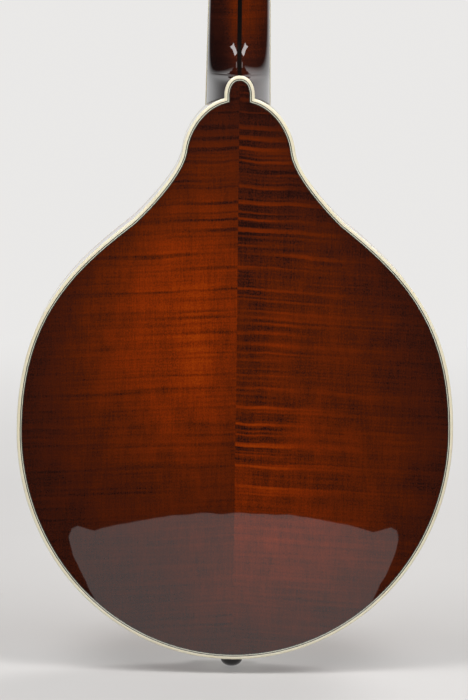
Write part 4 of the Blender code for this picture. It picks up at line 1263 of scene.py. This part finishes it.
def gear_shape(side, v):
    """A sixteen-tooth gear with a hub, then its post up through the headstock."""
    place = post_place(side, v)
    low, high = GEAR_SPAN
    tooth = (
        (-0.5, GEAR_ROOT), (-0.28, GEAR_ROOT), (-0.14, GEAR_RADIUS), (0.14, GEAR_RADIUS), (0.28, GEAR_ROOT),
    )
    loop = []
    for k in range(GEAR_TEETH):
        for shift, radius in tooth:
            a = 2 * math.pi * (k + shift) / GEAR_TEETH
            loop.append((math.cos(a), math.sin(a), radius))

    def rounds(*rows):
        return [[place(c * radius, s * radius, height) for c, s, _ in loop] for radius, height in rows]

    sections = rounds((2.2, low - 0.1), (2.6, low + 0.25))
    for inward, height in ((0.35, low + 0.25), (0.0, low + 0.6), (0.0, high - 0.35), (0.35, high)):
        sections.append([place(c * (r - inward), s * (r - inward), height) for c, s, r in loop])
    return loft(sections + rounds(
        (POST_RADIUS, high), (POST_RADIUS, 5.4), (2.72, 6.2), (2.72, 9.8), (POST_RADIUS, 10.8),
        (POST_RADIUS, 14.1), (2.6, 14.8), (1.6, POST_TOP),
    ))


def worm_radius(x, phase):
    """The shaft's radius: threaded between the ears, with a collar and a narrow end."""
    if 12.5 < x < 21.5:
        return 1.62 + 0.48 * (0.5 + 0.5 * math.cos(phase)) ** 0.7
    if 24.4 < x < 26.0:
        return 2.2
    return 1.1 if x < 8.8 else 1.5


def worm_shape(side, v):
    """The worm and its shaft, a helical ridge between the two ears."""
    axis_v = v + WORM_OFFSET
    sections = []
    for x in np.linspace(8.4, 34.4, 131):
        ring = []
        for k in range(20):
            a = 2 * math.pi * k / 20
            radius = worm_radius(x, a - side * 2 * math.pi * x / WORM_PITCH)
            across, up = radius * math.cos(a), radius * math.sin(a)
            ring.append(head_point(side * x, axis_v + across, WORM_AXIS_W + up))
        sections.append(ring)
    return loft(sections)


def button_shape(side, v):
    """A flattened, waisted knob button."""
    keys = ((34.0, 2.3, 2.0), (34.6, 2.9, 2.4), (37.0, 4.3, 2.7), (40.0, 6.4, 3.0), (43.5, 7.7, 3.2),
            (47.5, 7.6, 3.1), (50.0, 5.6, 2.5), (51.0, 3.4, 1.6), (51.3, 1.2, 0.7))
    x_at, across, deep = zip(*keys)
    sections = []
    for x in np.concatenate((np.linspace(34.0, 50.0, 22), (50.4, 50.8, 51.1, 51.3))):
        wide, thick = (float(smooth_curve(x_at, values, x)) for values in (across, deep))
        ring = []
        for c, s in circle(40):
            c, s = (math.copysign(abs(t) ** 0.8, t) for t in (c, s))
            ring.append(head_point(side * x, v + WORM_OFFSET + wide * c, WORM_AXIS_W + thick * s))
        sections.append(ring)
    return loft(sections)


def winding_shape(side, v, radius):
    """String wound down the post, starting where the string arrives."""
    place = post_place(side, v)
    reach = WINDING_REACH + radius
    points = []
    for t in np.linspace(0.0, 1.0, int(WINDING_TURNS * 24)):
        a = math.pi * (1 if side > 0 else 0) + side * t * WINDING_TURNS * 2 * math.pi
        height = WINDING_W - 1.9 * radius * 1.05 * WINDING_TURNS * t * 0.6 + 0.4
        points.append(place(reach * math.cos(a), reach * math.sin(a), height))
    return tube(points, radius, 8)


def build_tuners(name, side):
    outline = [(side * x, v) for x, v in rounded_outline(9.5, 25.5, 23.0, 114.0, 3.5)]
    add_piece("tuner_base_" + name, slab(outline, *PLATE_W), [NICKEL], "nickel", ("tuner_plate_" + name,), 40,
              cuts=post_holes(side, 3.2, -25.0), soften=(0.3, 2))
    for k, v in enumerate((26.3, 45.0, 68.0, 91.0, 111.0)):
        add_screw("tuner_screw_%s_%d" % (name, k),
                  lambda a, b, h: head_point(side * 12.6 + a, v + b, PLATE_W[0] - h), 1.5, 0.8)
    for k, v in enumerate(POST_STATIONS):
        build_tuner("%s_%d" % (name, k + 1), side, v)


def build_tuner(label, side, v):
    """One knob with its worm, the two ears that hold it, and its gear, post and bushing."""
    place = post_place(side, v)
    for part, (low, high) in enumerate(((10.0, 12.0), (22.0, 24.0))):
        ear = lug_shape(side, low, high, v + WORM_OFFSET)
        add_piece("tuner_ear_%s_%d" % (label, part), ear, [NICKEL], "nickel", sharp=40, soften=(0.3, 2))
    string_hole = bore(0.75, -5.0, 5.0, 16, lambda a, b, h: place(h, a, 11.8 + b))
    groove = loft([[place(a, b, h) for a, b in oblong(4, 0.35)] for h in (-21.5, -20.05)])
    post = add_piece("gear_" + label, gear_shape(side, v), [BRASS, NICKEL], "nickel",
                     ("tuner_post_" + label,), body="post_" + label, cuts=[string_hole, groove])
    for face in post.data.polygons:
        if face.center.y / MM > head_point(0.0, v, -16.0)[1]:
            face.material_index = 1
    knob = "knob_" + label
    add_piece("worm_" + label, worm_shape(side, v), [NICKEL], "nickel", sharp=50, body=knob)
    add_piece("button_" + label, button_shape(side, v), [PEARL], "pearl_plastic", ("tuner_" + knob,),
              body=knob)
    ring = ((3.15, 1.0), (3.15, 3.3), (3.5, 3.5), (4.3, 3.3), (4.8, 2.7), (5.2, 2.1), (5.2, 1.82),
            (4.2, 1.82), (4.2, 1.0))
    add_piece("bushing_" + label, ring_shape(ring, 32, place), [NICKEL], "nickel")


# ---------------------------------------------------------------- bridge, tailpiece and strings
def top_surface(x, z):
    return EDGE_PLANE + float(arch(x, z, TOP_ARCH))


def foot_section(x):
    share = max(0.0, abs(x) - 32.0) / 25.0
    half = 6.0 - 2.2 * share
    lift = 1.5 * (1 - min(1.0, max(0.0, (abs(x) - 14.0) / 8.0))) ** 0.7
    near, far = BRIDGE_Z - half, BRIDGE_Z + half
    floor = [top_surface(x, z) + 0.3 + lift for z in (near, far)]
    roof = BASE_TOP_Y - 0.8 * bell(x, 0.0, 14.0)
    roof = roof * (1 - share ** 1.3) + (max(floor) + 2.2) * share ** 1.3
    crown = half - 1.6
    return [
        (x, floor[0], near), (x, floor[1], far), (x, (floor[1] + roof) / 2, far),
        (x, roof - 0.9, far - 0.35), (x, roof, BRIDGE_Z + crown), (x, roof, BRIDGE_Z - crown),
        (x, roof - 0.9, near + 0.35), (x, (floor[0] + roof) / 2, near),
    ]


def saddle_section(x, lift):
    low, high = SADDLE_Y
    edge = max(0.0, abs(x) - 30.5) / 6.5
    ear = smooth_step(min(1.0, max(0.0, abs(x) - 21.5) / 3.0))
    roof = high + lift - 0.4 * ear - (high - low - 3.4) * edge * edge * (3 - 2 * edge)
    half = 1.3 + 1.7 * ear
    step = 0.45 * math.sin(x * 0.36) * (1 - ear)
    waist, waist_half = (low + roof) / 2 + 0.6, (3.1 + half) / 2
    profile = (
        (low, -3.2), (low, 3.2), (low + 2.6, 3.1), (waist, waist_half),
        (roof - 0.25, half + step * 0.5), (roof, half - 0.35 + step * 0.5),
        (roof, -half + 0.35 + step * 0.5), (roof - 0.25, -half + step * 0.5),
        (waist, -waist_half), (low + 2.6, -3.1),
    )
    return [(x, y, BRIDGE_Z + z) for y, z in profile]


def thread_shape(place):
    """A post whose radius winds in and out like a screw thread."""
    radius, depth, pitch = BRIDGE_POST_THREAD
    sections = []
    for y in np.linspace(*BRIDGE_POST_Y, 100):
        ring = []
        for c, s in circle(24):
            reach = radius + depth * math.cos(math.atan2(s, c) - 2 * math.pi * y / pitch)
            ring.append(place(reach * c, reach * s, y))
        sections.append(ring)
    return loft(sections)


def wheel_shape(place):
    """A thumbwheel with a knurled rim."""
    low, high = WHEEL_Y
    rim = []
    for k in range(88):
        a = 2 * math.pi * k / 88
        tip = WHEEL_RADIUS - (0.0 if k % 2 else 0.28)
        half = ((WHEEL_BORE, 0.0), (4.6, 0.0), (4.8, 0.12), (tip - 0.4, 0.12), (tip, 0.4))
        rows = [(r, low + y) for r, y in half] + [(r, high - y) for r, y in half[::-1]]
        rim.append([place(r * math.cos(a), r * math.sin(a), y) for r, y in rows])
    return loft(rim, ring=True)


def build_bridge():
    places = [along_y(side * BRIDGE_POST_X, BRIDGE_Z) for _, side in SIDES]
    foot = loft([foot_section(x) for x in np.linspace(-57.0, 57.0, 77)])
    add_piece("bridge_foot", foot, [EBONY], "ebony", ("bridge_base",), 40,
              cuts=[bore(2.2, 39.5, 60.0, 24, place) for place in places])
    lifts = {round(x, 3): lift for x, lift in notched(string_spots("saddle"), 24.0, 0.35)}
    ends = np.concatenate((np.linspace(-SADDLE_HALF, -24.4, 12), np.linspace(24.4, SADDLE_HALF, 12)))
    stations = sorted(set(lifts) | {round(float(x), 3) for x in ends})
    saddle = loft([saddle_section(x, lifts.get(x, 0.0)) for x in stations])
    add_piece("saddle_ebony", saddle, [EBONY], "ebony", ("bridge_saddle",), body="saddle",
              cuts=[bore(2.25, 30.0, 52.4, 24, place) for place in places])
    for (name, _), place in zip(SIDES, places):
        add_piece("post_thread_" + name, thread_shape(place), [BRASS], "brass", ("bridge_post_" + name,), 60)
        add_piece("wheel_knurled_" + name, wheel_shape(place), [BRASS], "brass", ("thumbwheel_" + name,), 40,
                  body="wheel_" + name)


def cover_row(z, y):
    """One cross-section of the tailpiece's cover, with its crown at height y."""
    foot_z = max(z, 7.0)
    rise = 20.0 + (foot_z - 7.0) * 2.65 if foot_z < 9.0 else 25.3 + (foot_z - 9.0) * 0.111
    foot = min(y - 0.4, rise)
    wide = (COVER_HALF - 0.4) * (1.0 - 0.06 * bell(z, 36.0, 16.0))
    row = [(wide, foot, z)]
    shoulder = min(3.2, (y - foot) * 0.8)
    for a in np.linspace(0.0, math.pi / 2, 8):
        row.append((wide - shoulder * (1 - math.cos(a)), y - shoulder * (1 - math.sin(a)), z))
    for x in np.linspace(wide - shoulder, 0.0, 7)[1:]:
        row.append((x, y + 0.45 * (1 - (x / wide) ** 2), z))
    return row + [(-x, b, c) for x, b, c in row[-2::-1]]


def build_tailpiece():
    profile = ((6.6, -8.0), (6.6, 22.2), (7.2, 23.9), (9.0, 24.5), (42.0, 28.9), (58.0, 31.0), (58.0, 30.0),
               (9.3, 23.5), (8.0, 23.2), (7.6, 22.0), (7.6, -8.0))
    add_piece("tail_plate", prism_x(profile, -15.0, 15.0), [NICKEL], "nickel", ("tailpiece_base",), 40,
              cuts=[bore(4.15, 5.0, 10.0, 32, along_z(0.0, 0.0))], soften=(0.25, 2))
    for k, (x, y) in enumerate(((-9.0, 14.0), (9.0, 14.0), (0.0, -5.0))):
        add_screw("tail_screw_%d" % k, lambda a, b, h: (x + a, y + b, 6.6 - h), 1.9, 1.0)
    hook = ((28.6, 43.0), (29.6, 42.6), (31.0, 42.3), (32.0, 41.6), (32.3, 40.7), (31.9, 39.9))
    for course in COURSES:
        for number, step in PAIR:
            path = [(string_x(course, "hook", step), y, z) for y, z in hook]
            add_piece("hook_%s%d" % (course.name, number), tube(path, 0.55), [NICKEL], "nickel")
    crown = np.array((
        (5.9, 20.4), (5.5, 23.5), (5.6, 26.2), (6.6, 28.7), (9.0, 30.2), (14.0, 31.4), (30.0, 34.4),
        (46.0, 35.6), (58.0, 35.9), (60.6, 35.6), (61.8, 34.9),
    ))
    keys, at = np.linspace(0.0, 1.0, len(crown)), np.linspace(0.0, 1.0, 44)
    rows = [cover_row(z, y) for z, y in zip(*(smooth_curve(keys, values, at) for values in crown.T))]
    count = len(rows[0])
    faces = [(r * count + k, r * count + k + 1, (r + 1) * count + k + 1, (r + 1) * count + k)
             for r in range(len(rows) - 1) for k in range(count - 1)]
    cover = mesh_object("cover_shell", ([p for row in rows for p in row], faces))
    step = cover.modifiers.new("thickness", "SOLIDIFY")
    step.thickness = 0.8 * MM
    step.offset = 0.0
    apply_modifiers(cover)
    finish_mesh(cover, [NICKEL], "cover", ("tailpiece_cover",), "nickel", 50)


def along(points, count):
    """Even points along a line of straight runs."""
    points = np.array(points)
    lengths = np.linalg.norm(np.diff(points, axis=0), axis=1)
    keys = np.concatenate(([0.0], np.cumsum(lengths)))
    at = np.union1d(np.linspace(0.0, keys[-1], count), keys)
    return np.stack([np.interp(at, keys, points[:, k]) for k in range(3)], axis=1)


def winding_tone(mesh):
    """Gives a string lengthwise coordinates for its winding."""
    x, _, z = positions(mesh).T
    store_grain(mesh, 0 * x, z, 0 * x)


def build_string(course, number, step):
    """A string in three parts, with its twist at the hook and its coil on the post."""
    node, side, radius = "string_%s%d" % (course.name, number), course.side, STRING_RADII[course.name]
    shader, slot = (BRONZE, "bronze_string") if course.name in "gd" else (PLAIN_STRING, "plain_string")
    post = course.posts[number - 1]
    station = POST_STATIONS[post]

    def add(part, shape, body=ROOT, nodes=()):
        return add_piece(node + part, shape, [shader], slot, nodes, 60, body, tone=winding_tone)

    def crossing(line, y, z):
        return (string_x(course, line, step), y, z)

    hook = crossing("hook", HOOK_Y, HOOK_Z - 1.6)
    over = [crossing("saddle", SADDLE_Y[1] + STRING_GAP + radius, BRIDGE_Z + z) for z in (-1.3, 0.0, 1.3)]
    nut = [crossing("nut", NUT_TOP_Y + STRING_GAP + radius, NUT_Z + z) for z in (0.2, 2.4)]
    arrive = head_point(side * (POST_X - WINDING_REACH - radius), station, WINDING_W + 0.4)
    start, bend, end = (tuple(c * MM for c in point) for point in (hook, over[1], nut[0]))
    tail = add("_tail", tube(along([hook] + over[:2], 24), radius), None)
    speaking = add("_length", tube(along(over[1:] + nut[:1], 48), radius), None, (node,))
    add("_head", tube(along(nut + [arrive], 8), radius))
    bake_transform(tail)
    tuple(start)
    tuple(bend)
    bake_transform(speaking)
    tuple(bend)
    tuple(end)
    reach = np.array(hook) + (np.array(over[0]) - hook) * 0.075
    add("_twist", tube(along([hook, tuple(reach)], 6), radius + 0.3))
    label = "%s_%d" % ("bass" if side > 0 else "treble", post + 1)
    add("_coil", winding_shape(side, station, radius), "post_" + label)


# ---------------------------------------------------------------- camera, lights and stage
def set_camera():
    data = bpy.data.cameras.new("camera")
    data.sensor_width = SENSOR
    data.lens = SENSOR * CAMERA_DISTANCE / (PICTURE_HEIGHT_MM * MM)
    data.clip_start, data.clip_end = 0.05, 50.0
    camera = bpy.data.objects.new("camera", data)
    bpy.context.scene.collection.objects.link(camera)
    tilt = math.radians(CAMERA_ELEVATION)
    turn = math.radians(CAMERA_AZIMUTH)
    back = Vector((math.cos(tilt) * math.sin(turn), -math.cos(tilt) * math.cos(turn), math.sin(tilt)))
    camera.location = Vector(CAMERA_TARGET) * MM + back * CAMERA_DISTANCE
    camera.rotation_mode = "QUATERNION"
    roll = Quaternion((0.0, 0.0, 1.0), math.radians(CAMERA_ROLL))
    camera.rotation_quaternion = (-back).to_track_quat("-Z", "Y") @ roll
    bpy.context.scene.camera = camera


def set_lights():
    world = bpy.data.worlds.new("studio")
    bpy.context.scene.world = world
    world.use_nodes = True
    world.node_tree.nodes.clear()
    w = Nodes(world.node_tree)
    way = {0: w.add("TexCoord", output="Generated"), 1: BRIGHT_WAY}
    facing = w.add("VectorMath", way, "Value", operation="DOT_PRODUCT")
    edge = {0: facing, 1: WORLD_EDGE[0], 2: WORLD_EDGE[1], 3: WORLD_FRONT, 4: WORLD_BEHIND}
    room = w.add("Background", {"Strength": w.add("MapRange", edge)})
    seen = w.add("Background", {"Color": BACKDROP, "Strength": 1.0})
    mix = w.add("MixShader", {0: w.add("LightPath", output="Is Camera Ray"), 1: room, 2: seen})
    w.link(mix, w.tree.nodes.new("ShaderNodeOutputWorld").inputs["Surface"])
    for name, place, size, power in LAMPS:
        data = bpy.data.lights.new(name, "AREA")
        data.shape = "RECTANGLE"
        data.size, data.size_y = size
        data.energy = power
        lamp = bpy.data.objects.new(name, data)
        lamp.location = place
        lamp.rotation_mode = "QUATERNION"
        lamp.rotation_quaternion = (Vector(CAMERA_TARGET) * MM - Vector(place)).to_track_quat("-Z", "Y")
        lamp.visible_camera = False
        lamp.visible_glossy = name.startswith("box")
        bpy.context.scene.collection.objects.link(lamp)


def flat_sheet(corners, z):
    return [(x, y, z) for x, y in corners], [tuple(range(len(corners)))]


def set_floor():
    floor = mesh_object("floor", flat_sheet(oblong(FLOOR_HALF, FLOOR_HALF), FLOOR_Z))
    s = Shader("floor_paper", Roughness=0.85, Specular_IOR_Level=0.0)
    s.color(s.pattern((3.0, 3.0, 3.0), 3.0), ((0.3, (0.53, 0.515, 0.505)), (0.7, (0.56, 0.545, 0.535))))
    away = s.add("VectorMath", {0: s.place()}, 1, operation="LENGTH")
    share = s.add("MapRange", {0: away, 1: 0.25, 2: 1.9, 3: 0.28}, interpolation_type="SMOOTHSTEP")
    glow = s.add("Emission", {"Color": BACKDROP})
    both = s.add("MixShader", {0: share, 1: s.surface.outputs[0], 2: glow})
    s.link(both, s.tree.nodes["Material Output"].inputs["Surface"])
    floor.data.materials.append(s.material)
    floor.visible_glossy = False
    far = ((-1500, -26), (1500, -26), (1500, 1500), (-1500, 1500))
    for name, outline, glow in (("table_card", card_outline(), CARD_GLOW), ("far_card", far, FAR_GLOW)):
        card = mesh_object(name, flat_sheet(outline, 0.0))
        s = Shader(name + "_glow", Roughness=0.9, Base_Color=(0.0, 0.0, 0.0, 1.0),
                   Emission_Color=(1.0, 0.97, 0.96, 1.0), Emission_Strength=glow)
        card.data.materials.append(s.material)
        card.visible_camera = False
        card.visible_diffuse = False
        card.visible_shadow = False


def card_outline():
    """The lit part of the table in front of the back, with rounded far corners."""
    half, near, far, corner = 285.0, -24.0, -305.0, 110.0
    outline = [(half, near)]
    for cx, start in ((half - corner, 0.0), (-half + corner, -90.0)):
        for t in np.linspace(0.0, 90.0, 10):
            a = math.radians(start - t)
            outline.append((cx + corner * math.cos(a), far + corner + corner * math.sin(a)))
    return outline + [(-half, near)]


def keep_cad_looks():
    """Finishes for the CAD nodes that stay as they are."""
    finishes = (
        (("lining_",), WILLOW), (("tail_block", "neck_block"), WILLOW), (("tone_bar_",), INNER_SPRUCE),
        (("truss_rod_nut",), BRASS), (("truss_rod",), STEEL), (("tuner_plate_",), NICKEL),
        (("tailpiece_",), NICKEL), (("string_g", "string_d"), BRONZE),
        (("string_a", "string_e"), PLAIN_STRING),
        (("tuner_post_",), NICKEL), (("tuner_knob_",), PEARL), (("nut",), BONE),
        (("bridge_post_", "thumbwheel_"), BRASS),
        (("fingerboard", "headstock_overlay", "truss_rod_cover", "bridge_base", "bridge_saddle"), EBONY),
    )
    for name, item in NODES.items():
        for prefixes, shader in finishes:
            if name.startswith(prefixes):
                item.data.materials.clear()
                item.data.materials.append(shader)
                break


build_body()
build_neck()
build_board()
build_nut()
build_head()
build_bridge()
build_tailpiece()
for course in COURSES:
    for number, step in PAIR:
        build_string(course, number, step)
keep_cad_looks()
set_floor()
set_lights()
set_camera()
bpy.context.scene.view_settings.view_transform = "Standard"
